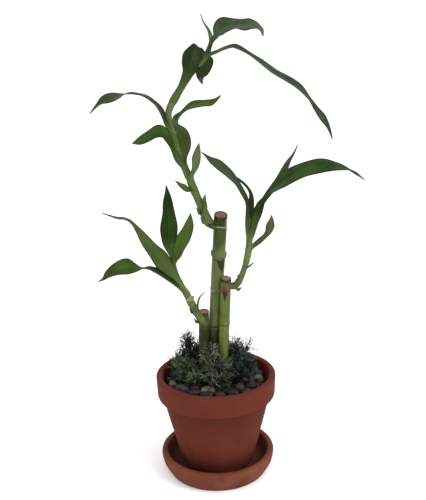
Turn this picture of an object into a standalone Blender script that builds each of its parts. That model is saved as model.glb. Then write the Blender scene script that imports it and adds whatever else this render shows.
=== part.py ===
"""Lucky bamboo: three cut canes with leafy side shoots, in a clay pot that stands in its saucer.

Run with: blender --background --python part.py
Metres, +Z up. The origin is the centre of the saucer's underside, and the front is -Y.
Every piece of the plant and its holder is an object of its own, about 0.3 mm clear of its neighbours.
"""
import math
import random

import bmesh
import bpy
from mathutils import Euler, Matrix, Vector

MM = 0.001
GAP = 0.3 * MM
SEED = 7

# Clay saucer
SAUCER_FOOT_RADIUS = 0.0444
SAUCER_LIP_RADIUS = 0.0518
SAUCER_HEIGHT = 0.0193
SAUCER_FLOOR = 0.0074
SAUCER_LIP_WIDTH = 0.0061

# Clay pot
POT_FOOT = SAUCER_FLOOR + GAP
POT_FOOT_RADIUS = 0.0329
POT_NECK_RADIUS = 0.0489
POT_BAND_BOTTOM = 0.0734
POT_BAND_RADIUS = 0.0533
POT_RIM_RADIUS = 0.0540
POT_RIM_TOP = 0.0930
POT_RIM_WALL = 0.0057
POT_BODY_WALL = 0.0055
POT_FLOOR_THICKNESS = 0.0070
POT_TAPER_TOP = 0.0690
POT_DRAIN_RADIUS = 0.0060
CLAY_SIDES = 48

# What fills the pot
SOIL_CLEARANCE = 0.0005
SOIL_SHOULDER = 0.0745
SOIL_TOP = 0.0780
BED_TOP = 0.0830
STONE_TOP = 0.0886
BED_RADIUS = 0.0464
STONE_SPACING = 0.0080
MOSS_BOTTOM = 0.0890
MOSS_POT_RADIUS = 0.0455
MOSS_CLEARANCE = 0.0008
MOSS_NEIGHBOUR_MARGIN = 1.12

# Canes
CANE_FOOT = 0.0400
CANE_SIDES = 12
CANE_HOLE_CLEARANCE = 0.0004
NODE_SWELL = 0.0007
NODE_HALF_LENGTH = 0.0022

# Shoots and leaves
SHOOT_SIDES = 8
BLADE_THICKNESS = 0.0007
BLADE_STEPS = 2
MIDRIB_DEPTH = 0.07

# Foot and head of each cane's centre line, its radius and the heights of its nodes
CANES = {
    "cane_tall": (
        (-0.0066, 0.013, CANE_FOOT), (0.0080, 0.013, 0.2360), 0.0053, (0.1324, 0.1667, 0.1984, 0.2252)),
    "cane_mid": ((0.0034, 0.004, CANE_FOOT), (0.0113, 0.004, 0.1805), 0.0043, (0.1384, 0.1694)),
    "cane_short": ((-0.0125, 0.003, CANE_FOOT), (-0.0096, 0.007, 0.1492), 0.0040, (0.1368,)),
}
CUT_SLOPE = {"cane_tall": 0.25, "cane_mid": 0.15, "cane_short": 0.10}


for old in list(bpy.data.objects):
    bpy.data.objects.remove(old, do_unlink=True)


def linear(red, green, blue):
    """Turn display colour values of 0 to 255 into the linear values that shaders take."""
    return tuple(((value / 255 + 0.055) / 1.055) ** 2.4 for value in (red, green, blue))


def finish(name, colour, roughness):
    material = bpy.data.materials.new(name)
    material.use_nodes = True
    shader = material.node_tree.nodes["Principled BSDF"]
    shader.inputs["Base Color"].default_value = (*linear(*colour), 1)
    shader.inputs["Roughness"].default_value = roughness
    shader.inputs["Metallic"].default_value = 0
    return material


CLAY_POT = finish("clay_pot", (112, 54, 42), 0.85)
CLAY_SAUCER = finish("clay_saucer", (122, 68, 52), 0.85)
SOIL = finish("soil", (48, 38, 32), 0.95)
STONE = finish("river_stone", (92, 82, 76), 0.45)
MOSS_DARK = finish("moss_dark", (38, 52, 46), 0.95)
MOSS_GREEN = finish("moss_green", (66, 86, 66), 0.95)
CANE_GREEN = finish("cane_green", (98, 122, 62), 0.40)
SHOOT_GREEN = finish("shoot_green", (108, 132, 76), 0.45)
LEAF_DARK = finish("leaf_dark", (42, 66, 40), 0.42)
LEAF_LIGHT = finish("leaf_light", (86, 112, 62), 0.45)
DRY_BROWN = finish("dry_brown", (88, 74, 62), 0.80)


def add_object(name, bm, material):
    """Make a smooth-shaded object from a bmesh, with sharp edges where it turns hard."""
    mesh = bpy.data.meshes.new(name)
    bm.to_mesh(mesh)
    bm.free()
    mesh.materials.append(material)
    mesh.shade_smooth()
    mesh.set_sharp_from_angle(angle=math.radians(35))
    body = bpy.data.objects.new(name, mesh)
    bpy.context.collection.objects.link(body)
    return body


def apply_modifiers(body):
    graph = bpy.context.evaluated_depsgraph_get()
    mesh = bpy.data.meshes.new_from_object(body.evaluated_get(graph))
    body.modifiers.clear()
    body.data = mesh


def turned(name, profile, material, closed):
    """Turn a profile of (radius, height) round the Z axis; an open one starts and ends on the axis."""
    bm = bmesh.new()
    points = [bm.verts.new((radius, 0, height)) for radius, height in profile]
    lines = [bm.edges.new(pair) for pair in zip(points, points[1:])]
    if closed:
        lines.append(bm.edges.new((points[-1], points[0])))
    bmesh.ops.spin(bm, geom=points + lines, axis=(0, 0, 1), cent=(0, 0, 0), angle=math.tau,
                   steps=CLAY_SIDES, use_duplicate=False)
    bmesh.ops.remove_doubles(bm, verts=bm.verts, dist=1e-6)
    bmesh.ops.recalc_face_normals(bm, faces=bm.faces)
    return add_object(name, bm, material)


def smooth_line(points, steps):
    """A Catmull-Rom curve through points of any number of values, with some steps to each span."""
    first = [2 * a - b for a, b in zip(points[0], points[1])]
    last = [2 * a - b for a, b in zip(points[-1], points[-2])]
    padded = [first, *points, last]
    line = []
    for a, b, c, d in zip(padded, padded[1:], padded[2:], padded[3:]):
        for step in range(steps):
            t = step / steps
            line.append([0.5 * (2 * q + (r - p) * t + (2 * p - 5 * q + 4 * r - s) * t * t
                                + (3 * q - p - 3 * r + s) * t ** 3) for p, q, r, s in zip(a, b, c, d)])
    line.append(list(points[-1]))
    return line


def line_frames(line):
    """The direction of the line at each point, and a side vector that never spins about it."""
    ends = len(line) - 1
    along = [(line[min(i + 1, ends)] - line[max(i - 1, 0)]).normalized() for i in range(ends + 1)]
    side = [Vector((0, 1, 0)).cross(along[0]).normalized()]
    for direction in along[1:]:
        side.append((side[-1] - direction * side[-1].dot(direction)).normalized())
    return along, side


def limb(name, stations, sides, material, cut_slope=0.0):
    """A round stem through stations of (point, radius), its head cut flat and sloping down to the front."""
    line = [Vector(point) for point, _ in stations]
    along, side = line_frames(line)
    bm = bmesh.new()
    rings = []
    for centre, (_, radius), direction, right in zip(line, stations, along, side):
        back = direction.cross(right)
        turn = [math.tau * k / sides for k in range(sides)]
        spokes = [right * math.cos(a) + back * math.sin(a) for a in turn]
        rings.append([bm.verts.new(centre + spoke * radius) for spoke in spokes])
    for corner in rings[-1]:
        corner.co.z += (corner.co.y - line[-1].y) * cut_slope
    for lower, upper in zip(rings, rings[1:]):
        for k in range(sides):
            bm.faces.new((lower[k], lower[(k + 1) % sides], upper[(k + 1) % sides], upper[k]))
    bm.faces.new(rings[0])
    bm.faces.new(rings[-1])
    bmesh.ops.recalc_face_normals(bm, faces=bm.faces)
    return add_object(name, bm, material)


def cane_stations(foot, head, radius, nodes):
    """A straight cane with a low swollen ring at each node."""
    foot = Vector(foot)
    axis = Vector(head) - foot
    heights = {foot.z: 0.0, head[2]: 0.0}
    for node in nodes:
        heights[node - NODE_HALF_LENGTH] = 0.0
        heights[node] = NODE_SWELL
        heights[node + NODE_HALF_LENGTH] = 0.0
    return [(foot + axis * ((z - foot.z) / axis.z), radius + heights[z]) for z in sorted(heights)]


def cane_cutter(name):
    """A guide a little wider than a cane, for the plain hole that the cane stands in."""
    foot, head, radius, _ = CANES[name]
    deeper = Vector(foot) - (Vector(head) - Vector(foot)).normalized() * GAP
    stations = [(deeper, radius + CANE_HOLE_CLEARANCE), (head, radius + CANE_HOLE_CLEARANCE)]
    cutter = limb(name + "_cutter", stations, CANE_SIDES, SOIL)
    cutter.hide_render = True
    cutter.display_type = "WIRE"
    return cutter


def cut_cane_holes(body):
    for name in CANES:
        cutter = cane_cutter(name)
        cut = body.modifiers.new("hole", "BOOLEAN")
        cut.operation = "DIFFERENCE"
        cut.solver = "EXACT"
        cut.object = cutter
        apply_modifiers(body)
        bpy.data.objects.remove(cutter, do_unlink=True)


def join_solids(body, solids):
    """Join loose solids to a body as one, and drop them."""
    group = bpy.data.collections.new("joined")
    for solid in solids:
        group.objects.link(solid)
    union = body.modifiers.new("join", "BOOLEAN")
    union.operation = "UNION"
    union.solver = "MANIFOLD"
    union.operand_type = "COLLECTION"
    union.collection = group
    apply_modifiers(body)
    for solid in solids:
        bpy.data.objects.remove(solid, do_unlink=True)
    bpy.data.collections.remove(group)
    drop_scraps(body)


def drop_scraps(body):
    """Keep only a body's largest piece; a sprig that missed its core is let go."""
    bm = bmesh.new()
    bm.from_mesh(body.data)
    left = set(bm.verts)
    pieces = []
    while left:
        piece = set()
        edge_of_piece = [left.pop()]
        while edge_of_piece:
            corner = edge_of_piece.pop()
            piece.add(corner)
            near = {edge.other_vert(corner) for edge in corner.link_edges} & left
            left -= near
            edge_of_piece.extend(near)
        pieces.append(piece)
    pieces.sort(key=len)
    for piece in pieces[:-1]:
        bmesh.ops.delete(bm, geom=sorted(piece, key=lambda corner: corner.index), context="VERTS")
    bm.to_mesh(body.data)
    bm.free()


# ---- Clay saucer: a flat foot, a flared side, an upright collar with a rounded lip, a dished inside

def saucer():
    inner_lip = SAUCER_LIP_RADIUS - SAUCER_LIP_WIDTH
    profile = [
        (0, 0), (SAUCER_FOOT_RADIUS, 0), (0.0468, 0.0030), (0.0498, 0.0080), (0.0508, 0.0112),
        (SAUCER_LIP_RADIUS, 0.0158), (0.0513, 0.0182), (0.0498, SAUCER_HEIGHT), (0.0476, SAUCER_HEIGHT),
        (0.0461, 0.0182), (inner_lip, 0.0162), (0.0430, 0.0102), (0.0405, 0.0082), (0.0380, SAUCER_FLOOR),
        (0, SAUCER_FLOOR),
    ]
    turned("saucer", profile, CLAY_SAUCER, closed=False)


# ---- Clay pot: a tapered body under a thick rim band, with a drain hole in its floor

def pot_inner_radius(height):
    """Inner wall of the pot: the body's taper below the band, nearly upright inside the band."""
    inner_rim = POT_RIM_RADIUS - POT_RIM_WALL
    if height > POT_BAND_BOTTOM:
        return inner_rim - 0.0010 * (POT_RIM_TOP - height) / (POT_RIM_TOP - POT_BAND_BOTTOM)
    rise = (height - POT_FOOT) / (POT_BAND_BOTTOM - POT_FOOT)
    return POT_FOOT_RADIUS + (POT_NECK_RADIUS - POT_FOOT_RADIUS) * rise - POT_BODY_WALL


def pot():
    floor = POT_FOOT + POT_FLOOR_THICKNESS
    inner_band = POT_BAND_BOTTOM + 0.0005
    profile = [
        (POT_DRAIN_RADIUS, POT_FOOT), (POT_FOOT_RADIUS - 0.0015, POT_FOOT),
        (POT_FOOT_RADIUS, POT_FOOT + 0.0018),
        (POT_NECK_RADIUS - 0.0002, POT_BAND_BOTTOM - 0.0004), (POT_NECK_RADIUS + 0.0010, POT_BAND_BOTTOM),
        (POT_BAND_RADIUS - 0.0012, POT_BAND_BOTTOM + 0.0002), (POT_BAND_RADIUS, POT_BAND_BOTTOM + 0.0016),
        (POT_RIM_RADIUS, POT_RIM_TOP - 0.0018), (POT_RIM_RADIUS - 0.0006, POT_RIM_TOP - 0.0005),
        (POT_RIM_RADIUS - 0.0018, POT_RIM_TOP), (POT_RIM_RADIUS - 0.0042, POT_RIM_TOP),
        (pot_inner_radius(POT_RIM_TOP - 0.0016), POT_RIM_TOP - 0.0016),
        (pot_inner_radius(inner_band), inner_band), (pot_inner_radius(POT_TAPER_TOP), POT_TAPER_TOP),
        (pot_inner_radius(floor), floor), (POT_DRAIN_RADIUS, floor),
    ]
    turned("pot", profile, CLAY_POT, closed=True)


# ---- Soil: fills the pot up to the pebbles, with a plain hole for each cane

def soil():
    floor = POT_FOOT + POT_FLOOR_THICKNESS + GAP
    profile = [(0, floor)]
    for height in (floor, POT_TAPER_TOP, SOIL_SHOULDER, SOIL_TOP):
        profile.append((pot_inner_radius(height) - SOIL_CLEARANCE, height))
    profile.append((0, SOIL_TOP))
    cut_cane_holes(turned("soil", profile, SOIL, closed=False))


# ---- Pebbles: river stones on a bed of gravel, joined where they touch

# Front stones, where the pot shows them best, in mm: place, half length, half width, half height, turn
FRONT_STONES = [
    (-31, -15, 6.4, 5.0, 4.4, 20), (-39, -6, 4.6, 4.2, 4.2, 70), (-7, -19, 6.6, 4.4, 3.2, 5),
    (-18, -25, 5.6, 4.2, 3.4, 15), (-18, -14, 4.6, 4.2, 3.8, 60), (-7, -29, 5.4, 4.2, 3.2, 0),
    (4, -31, 5.4, 4.4, 3.2, 10), (9, -23, 4.4, 4.4, 3.4, 40), (17, -25, 5.2, 4.2, 3.4, 165),
    (22, -14, 4.8, 4.2, 4.2, 120), (32, -12, 6.4, 4.6, 4.4, 15), (33, 1, 3.6, 3.6, 4.6, 0),
    (39, 4, 4.4, 3.4, 3.2, 20), (40, -5, 4.4, 3.6, 3.6, 80), (41, 14, 4.8, 4.6, 4.2, 100),
    (-28, -26, 4.8, 4.4, 3.6, 140), (27, -26, 5.0, 4.4, 3.4, 40),
]
# The other stones lie in rings: radius of the ring in mm and number of places on it
STONE_RINGS = [(41, 19), (31, 12)]


def stone(number, x, y, sizes, turn, material):
    """One water-worn stone: a rough ball, stretched and tilted a little, level with its neighbours."""
    draw = random.Random(SEED + number)
    bm = bmesh.new()
    bmesh.ops.create_icosphere(bm, subdivisions=2, radius=1)
    for corner in bm.verts:
        corner.co *= 1 + draw.uniform(-0.06, 0.06)
    height = STONE_TOP - sizes[2] * MM * 1.08 - draw.uniform(0, 0.0008)
    tilt = Euler((math.radians(draw.uniform(-8, 8)), 0, math.radians(turn))).to_matrix().to_4x4()
    place = Matrix.Translation((x * MM, y * MM, height))
    stretch = Matrix.Diagonal((sizes[0] * MM, sizes[1] * MM, sizes[2] * MM, 1))
    bm.transform(place @ tilt @ stretch)
    return add_object(f"stone_{number}", bm, material)


def stone_places():
    places = list(FRONT_STONES)
    draw = random.Random(SEED)
    for ring_radius, count in STONE_RINGS:
        for k in range(count):
            angle = math.tau * (k + draw.uniform(-0.2, 0.2)) / count
            x, y = ring_radius * math.cos(angle), ring_radius * math.sin(angle)
            sizes = (draw.uniform(5.0, 6.2), draw.uniform(4.0, 4.8), draw.uniform(3.2, 4.2))
            crowded = any(math.hypot(x - px, y - py) * MM < STONE_SPACING for px, py, *_ in FRONT_STONES)
            if not crowded:
                places.append((x, y, *sizes, math.degrees(angle) + 90 + draw.uniform(-20, 20)))
    return places


def pebbles():
    low = SOIL_TOP + GAP
    profile = [(0, low), (BED_RADIUS, low), (BED_RADIUS, BED_TOP), (0, BED_TOP)]
    bed = turned("pebbles", profile, STONE, closed=False)
    solids = []
    for number, (x, y, length, width, height, turn) in enumerate(stone_places()):
        pull = min(1.0, (BED_RADIUS / MM - width * 1.1) / math.hypot(x, y))
        solids.append(stone(number, x * pull, y * pull, (length, width, height), turn, STONE))
    join_solids(bed, solids)
    cut_cane_holes(bed)


# ---- Moss: clumps of forked sprigs on a smaller core, sitting on the pebbles round the canes

# Core of each clump in mm: centre, half sizes; then number of sprigs, their length and the colour
MOSS = {
    "moss_left_back": ((-21, 23, 101), (13, 12, 16), 16, 6.5, MOSS_DARK),
    "moss_left": ((-31, 5, 94), (13, 11, 10), 14, 4.5, MOSS_GREEN),
    "moss_front_small": ((-18, -10, 91), (7, 6, 6), 8, 3.0, MOSS_GREEN),
    "moss_front": ((1, -7, 95), (13, 12, 14), 18, 5.0, MOSS_GREEN),
    "moss_right": ((22, 9, 99), (12, 12, 17), 18, 6.0, MOSS_DARK),
    "moss_back": ((4, 33, 96), (16, 12, 12), 14, 5.0, MOSS_DARK),
}


def reach_ratio(point, name):
    """How far a point lies from a clump's centre, where 1 is the core's own surface."""
    centre, sizes, *_ = MOSS[name]
    return math.sqrt(sum(((p / MM - c) / s) ** 2 for p, c, s in zip(point, centre, sizes)))


def cane_distance(point):
    """Distance from a point to the nearest cane's surface."""
    gaps = []
    for foot, head, radius, _ in CANES.values():
        axis = (Vector(head) - Vector(foot)).normalized()
        offset = Vector(point) - Vector(foot)
        gaps.append((offset - axis * offset.dot(axis)).length - radius - NODE_SWELL)
    return min(gaps)


def in_own_room(point, name):
    """True where a clump may grow: nearest to its own core, and clear of canes, pot and stones."""
    own = reach_ratio(point, name)
    others = min(reach_ratio(point, other) for other in MOSS if other != name)
    inside_pot = math.hypot(point.x, point.y) < MOSS_POT_RADIUS or point.z > POT_RIM_TOP + 2 * MM
    clear = cane_distance(point) > MOSS_CLEARANCE and point.z > MOSS_BOTTOM + 1.2 * MM
    return own * MOSS_NEIGHBOUR_MARGIN < others and inside_pot and clear


def spike(root, tip, radius):
    """A three-sided pointed sprig branch."""
    bm = bmesh.new()
    direction = (tip - root).normalized()
    right = direction.orthogonal().normalized()
    back = direction.cross(right)
    corners = [bm.verts.new(root + (right * math.cos(a) + back * math.sin(a)) * radius)
               for a in (0, math.tau / 3, math.tau * 2 / 3)]
    end = bm.verts.new(tip)
    bm.faces.new(corners)
    for k in range(3):
        bm.faces.new((corners[k], corners[(k + 1) % 3], end))
    bmesh.ops.recalc_face_normals(bm, faces=bm.faces)
    return add_object("sprig", bm, MOSS_DARK)


def moss_core(name):
    """A knobbly ball, flat underneath, pulled in wherever a neighbour or a cane needs the room."""
    centre, sizes, _, _, material = MOSS[name]
    centre = Vector(centre) * MM
    bm = bmesh.new()
    bmesh.ops.create_icosphere(bm, subdivisions=3, radius=1)
    draw = random.Random(name)
    for corner in bm.verts:
        full = Vector(c * s * MM for c, s in zip(corner.co, sizes)) * draw.uniform(0.80, 1.06)
        share = 1.0
        while share > 0.2 and not in_own_room(centre + full * share + Vector((0, 0, 0.002)), name):
            share -= 0.04
        corner.co = centre + full * share
        corner.co.z = max(corner.co.z, MOSS_BOTTOM)
    return add_object(name, bm, material)


def moss_sprigs(name):
    """Forked sprigs, spread evenly over the upper part of a clump by the golden angle."""
    centre, sizes, count, length, _ = MOSS[name]
    centre = Vector(centre) * MM
    draw = random.Random(name)
    spikes = []
    for k in range(count):
        level = 1 - 1.25 * (k + 0.5) / count
        angle = k * math.pi * (3 - math.sqrt(5))
        flat = math.sqrt(1 - level * level)
        way = Vector((flat * math.cos(angle), flat * math.sin(angle), level))
        root = centre + Vector(w * s * MM for w, s in zip(way, sizes)) * 0.78
        outward = Vector(w / s for w, s in zip(way, sizes)).normalized()
        tip = root + outward * (length + 3) * MM * draw.uniform(0.8, 1.2)
        fork = root.lerp(tip, 0.5)
        lean = outward.orthogonal().normalized() * length * 0.45 * MM
        ends = [tip, fork + outward * length * 0.4 * MM + lean, fork + outward * length * 0.4 * MM - lean]
        if not in_own_room(fork, name):
            continue
        for number, end in enumerate(ends):
            if in_own_room(end, name) and in_own_room(fork.lerp(end, 0.5), name):
                start = root if number == 0 else root.lerp(tip, 0.3)
                spikes.append(spike(start, end, 1.3 * MM if number == 0 else 0.9 * MM))
    return spikes


def moss():
    for name in MOSS:
        core = moss_core(name)
        join_solids(core, moss_sprigs(name))


# ---- Canes: thick green stems, swollen at their nodes and sawn off at the top

def canes():
    for name, (foot, head, radius, nodes) in CANES.items():
        limb(name, cane_stations(foot, head, radius, nodes), CANE_SIDES, CANE_GREEN, CUT_SLOPE[name])


# ---- Side shoots: one from the top node of each cane, in mm: x, y, z and thickness

SHOOTS = {
    "shoot_tall": [
        (0.2, 13, 226, 4.2), (-2.6, 12, 229, 7.4), (-5, 12, 235, 7.6), (-10, 9, 248, 6.2),
        (-15, 8, 261, 5.8), (-19, 8, 271, 6.2), (-25, 9, 285, 6.0), (-29, 10, 296, 5.8),
        (-32, 11, 307, 5.6), (-34, 12, 318, 5.2), (-34, 12, 325, 4.8), (-30, 12, 334, 5.0),
        (-24, 13, 344, 4.8), (-17, 14, 355, 4.6), (-9, 14, 366, 4.0), (-2, 13, 374, 3.4),
        (1, 12, 378, 2.6)],
    "shoot_mid": [
        (16.4, 4, 171, 5.4), (19, 3.5, 172, 5.6), (23, 2, 179, 5.2), (26, 2, 186, 5.0),
        (29, 2, 194, 4.6), (31, 2, 204, 4.4), (32, 2, 215, 4.2), (34, 2, 227, 3.6), (34, 2, 234, 2.6)],
    "shoot_short": [
        (-14.6, 3.6, 138, 3.4), (-16.8, 2.4, 141, 5.2), (-17.9, 2, 148, 6.0), (-20, 2, 156, 5.6),
        (-23.5, 2, 166, 5.4), (-28, 2, 175, 5.2), (-32, 2, 184, 4.8), (-34.5, 2.5, 192, 4.2),
        (-35.5, 3, 199, 3.2)],
    "tendril": [
        (-14, 1, 154, 1.2), (-14, 0, 159, 1.2), (-13, 0, 163, 1.1), (-11, 0, 166, 1.0),
        (-7, 0, 168, 0.8)],
}
SHOOT_STEPS = 2


def shoots():
    for name, points in SHOOTS.items():
        line = smooth_line(points, SHOOT_STEPS)
        stations = [(Vector((x, y, z)) * MM, thickness * MM / 2) for x, y, z, thickness in line]
        limb(name, stations, SHOOT_SIDES, DRY_BROWN if name == "tendril" else SHOOT_GREEN)


# ---- Leaves: lance-shaped blades, each with its widest width and its mid-line.
# A mid-line point is x, y, z in mm and the turn of the upper face in degrees, where 0 faces the front.

LEAVES = {
    "leaf_tall_1": (4, LEAF_LIGHT, [
        (-4, 5.6, 243, 0), (-5, 5, 249, 30), (-6, 4, 255, 40)]),
    "leaf_tall_2": (9, LEAF_LIGHT, [
        (-18, 4, 257, -75), (-22, 2, 262, -75), (-26, 0, 264, -75), (-30, -2, 269, -75)]),
    "leaf_tall_3": (10, LEAF_LIGHT, [
        (-14, 3, 269, 140), (-12, 2, 280, 135), (-11, 1, 290, 145), (-10, -1, 295, 145),
        (-9, -3, 300, 145)]),
    "leaf_tall_4": (15, LEAF_DARK, [
        (-26, 0, 283, -80), (-30, -2, 290, -80), (-33, -4, 299, -80), (-36, -5, 306, -70),
        (-42, -7, 309, -75), (-51, -9, 306, -65), (-58, -13, 303, -45), (-63, -17, 303, -45)]),
    "leaf_tall_5": (15, LEAF_LIGHT, [
        (-18, 14, 277, 60), (-20, 17, 288, 60), (-20, 19, 297, 45), (-22, 19, 307, 50),
        (-27, 17, 316, 75), (-24, 14, 323, 100), (-15, 9, 330, 100), (-4, 3, 332, 100),
        (5, -2, 333, 70), (10, -6, 339, 70)]),
    "leaf_tall_6": (13, LEAF_DARK, [
        (-38, 12, 317, -85), (-41, 13, 325, -85), (-45, 16, 332, -80), (-54, 20, 338, -65),
        (-63, 24, 340, -65), (-71, 27, 340, -60), (-81, 31, 338, -25), (-90, 35, 336, 0),
        (-97, 38, 331, -15), (-106, 41, 324, -15)]),
    "leaf_tall_7": (18, LEAF_DARK, [
        (-24, 19, 345, -40), (-19.5, 19.5, 352, -45), (-15, 20, 359, -40), (-11.5, 21, 367, -35),
        (-9, 24, 373, -20), (-6, 29, 374, 0), (-2, 32, 371, 30), (-2, 33, 364, 40), (-5, 32, 356, 40),
        (-5, 28, 347, 40)]),
    "leaf_tall_8": (10, LEAF_DARK, [
        (-3, 8, 366, 75), (3, 7, 371, 80), (10, 5, 376, 85), (19, 2, 379, 90), (34, -4, 373, 100),
        (54, -11, 358, 95), (72, -17, 345, 95), (80, -20, 336, 100), (90, -24, 321, 50),
        (97, -28, 304, 50)]),
    "leaf_tall_9": (15, LEAF_DARK, [
        (4, 8, 380, 70), (6, 8, 384, 70), (9, 7, 388, 60), (13, 6, 393, 45), (20, 3, 394, 65),
        (27, 0, 393, 70), (34, -4, 393, 60), (40, -7, 391, 75), (44, -9, 386, 85)]),
    "leaf_tall_10": (5, LEAF_LIGHT, [
        (2, 13, 382, 30), (1, 12, 389, 60), (-2, 11, 395, 75), (-5, 10, 403, 75)]),
    "leaf_mid_1": (10, LEAF_LIGHT, [
        (36, 0, 211, 60), (39, -2, 213, 75), (45, -4, 218, 75), (49, -6, 225, 55), (51, -7, 231, 30),
        (51, -8, 239, 30)]),
    "leaf_mid_2": (13, LEAF_DARK, [
        (30, -1, 236, -75), (30, -2, 249, -75), (25, -4, 259, -80), (19, -7, 269, -80),
        (13, -10, 276, -70), (7, -13, 282, -50), (-2, -17, 290, -60), (-7, -19, 295, -60)]),
    "leaf_mid_3": (8, LEAF_DARK, [
        (35, 4, 238, 50), (34.5, 3, 249, 65), (32.5, 2, 256, 65), (28.5, 4, 262, 60), (24, 5, 267, 50),
        (19, 5, 271, 50)]),
    "leaf_mid_4": (17, LEAF_DARK, [
        (37, -1, 223, 80), (38, -3, 236, 85), (41, -5, 248, 85), (48, -7, 257, 95), (58, -11, 266, 80),
        (66, -14, 273, 70), (78, -18, 278, 65), (90, -22, 281, 55), (101, -25, 280, 80),
        (112, -28, 278, 110), (123, -32, 270, 95)]),
    "leaf_mid_5": (8, LEAF_DARK, [
        (42, 7, 242, 50), (48, 7, 252, 70), (56, 7, 262, 70), (64, 8, 274, 55), (71, 9, 289, 75),
        (74, 10, 295, 75)]),
    "leaf_short_1": (17, LEAF_LIGHT, [
        (-25, -5.5, 166, -80), (-31, -7.5, 175, -85), (-39, -10, 186, -85), (-48, -12, 194, -90),
        (-57, -16, 197, -110), (-64, -20, 199, -85), (-72, -24, 201, -50), (-80, -28, 200, -45),
        (-87, -32, 197, -50), (-95, -36, 192, -50)]),
    "leaf_short_2": (17, LEAF_LIGHT, [
        (-34, -4, 185, -60), (-40, -6, 193, -60), (-46, -8, 202, -45), (-52, -10, 211, -65),
        (-58, -13, 221, -75), (-67, -17, 238, -95), (-77, -21, 243, -105), (-90, -25, 248, -105)]),
    "leaf_short_3": (16, LEAF_DARK, [
        (-37, 7, 200, -60), (-39, 9, 206, -60), (-38, 12, 218, -45), (-38, 16, 232, -50),
        (-39, 20, 248, -50), (-39, 22, 262, -65)]),
    "leaf_short_4": (14, LEAF_DARK, [
        (-32, -1, 198, 50), (-29, -3, 210, 55), (-23, -5, 222, 50), (-19, -7, 231, 35),
        (-18, -9, 242, 35)]),
}


def blade_width(widest, share):
    """Width at a share of the leaf's length: a narrow stalk end, a broad middle and a long point."""
    lens = max(math.sin(math.pi * share ** 0.8), 0) ** 0.8
    return widest * (0.35 * (1 - share) ** 3 + lens)


def leaf(name, widest, material, points):
    """A thin blade folded a little along its midrib, split into the same triangles on both faces."""
    rows = smooth_line(points, BLADE_STEPS)
    line = [Vector(row[:3]) * MM for row in rows]
    along, side = line_frames(line)
    run = [0.0]
    for a, b in zip(line, line[1:]):
        run.append(run[-1] + (b - a).length)
    bm = bmesh.new()
    cuts = []
    for row, centre, direction, flat, reach in zip(rows, line, along, side, run):
        turn = math.radians(row[3])
        across = flat * math.cos(turn) + flat.cross(direction) * math.sin(turn)
        width = blade_width(widest, reach / run[-1]) * MM
        face = across.cross(direction)
        if reach == run[-1]:
            cuts.append([bm.verts.new(centre)])
        else:
            half = across * width / 2
            midrib = centre - face * width * MIDRIB_DEPTH
            cuts.append([bm.verts.new(end) for end in (centre - half, midrib, centre + half)])
    for low, high in zip(cuts[:-1], cuts[1:-1]):
        for k in range(2):
            bm.faces.new((low[k], low[k + 1], high[k + 1]))
            bm.faces.new((low[k], high[k + 1], high[k]))
    for k in range(2):
        bm.faces.new((cuts[-2][k], cuts[-2][k + 1], cuts[-1][0]))
    body = add_object(name, bm, material)
    wall = body.modifiers.new("thickness", "SOLIDIFY")
    wall.thickness = BLADE_THICKNESS
    wall.offset = 0


saucer()
pot()
soil()
pebbles()
moss()
canes()
shoots()
for leaf_name, (widest_width, leaf_material, mid_line) in LEAVES.items():
    leaf(leaf_name, widest_width, leaf_material, mid_line)
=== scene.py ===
"""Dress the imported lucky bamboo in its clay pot: clay, river stones, moss, cut canes, shoots and leaves.

Metres, +Z up, the front is -Y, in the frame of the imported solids. Sizes in the tables are in millimetres.
"""
import math
import random

import bpy
from mathutils import Matrix, Vector, noise


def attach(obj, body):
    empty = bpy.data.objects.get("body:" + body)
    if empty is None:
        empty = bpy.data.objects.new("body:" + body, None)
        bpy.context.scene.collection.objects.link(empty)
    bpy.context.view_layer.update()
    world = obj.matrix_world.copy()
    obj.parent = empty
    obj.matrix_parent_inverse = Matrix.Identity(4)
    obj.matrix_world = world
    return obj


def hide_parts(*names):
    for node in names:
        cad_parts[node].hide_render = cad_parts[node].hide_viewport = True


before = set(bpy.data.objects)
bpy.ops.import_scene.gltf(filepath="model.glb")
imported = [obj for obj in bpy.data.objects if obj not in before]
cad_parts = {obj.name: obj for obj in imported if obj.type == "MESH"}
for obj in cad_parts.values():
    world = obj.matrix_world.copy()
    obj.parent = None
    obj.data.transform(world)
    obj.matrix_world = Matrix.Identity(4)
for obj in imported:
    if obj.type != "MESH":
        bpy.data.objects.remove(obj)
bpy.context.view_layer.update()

# ---- Saucer
# A shallow dish of red clay, thrown on a wheel and fired without a glaze. The pot stands loose on its
# flat floor, and the well between the two is darkened by painted shade.

MM = 0.001
WHEEL_SIDES = 144


def start_piece(name):
    """Name the primitive that was just added and open it for editing."""
    piece = bpy.context.object
    piece.name = name
    piece.data.name = name
    bpy.ops.object.transform_apply(location=True, rotation=True, scale=True)
    bpy.ops.object.mode_set(mode="EDIT")
    return piece


def end_piece(piece, smooth_angle=40):
    """Close editing with every face turned outwards, and smooth all but the sharp edges."""
    bpy.ops.mesh.select_all(action="SELECT")
    bpy.ops.mesh.remove_doubles(threshold=0.000002)
    bpy.ops.mesh.normals_make_consistent(inside=False)
    bpy.ops.object.mode_set(mode="OBJECT")
    bpy.ops.object.shade_smooth_by_angle(angle=math.radians(smooth_angle))
    return piece


def stand_for(piece, slot, *nodes):
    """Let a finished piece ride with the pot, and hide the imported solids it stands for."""
    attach(piece, "root")
    if nodes:
        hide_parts(*nodes)


def dress(piece, material, slot, *nodes):
    """Give a finished piece its one material and its place in the object."""
    piece.data.materials.clear()
    piece.data.materials.append(material)
    stand_for(piece, slot, *nodes)


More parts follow.
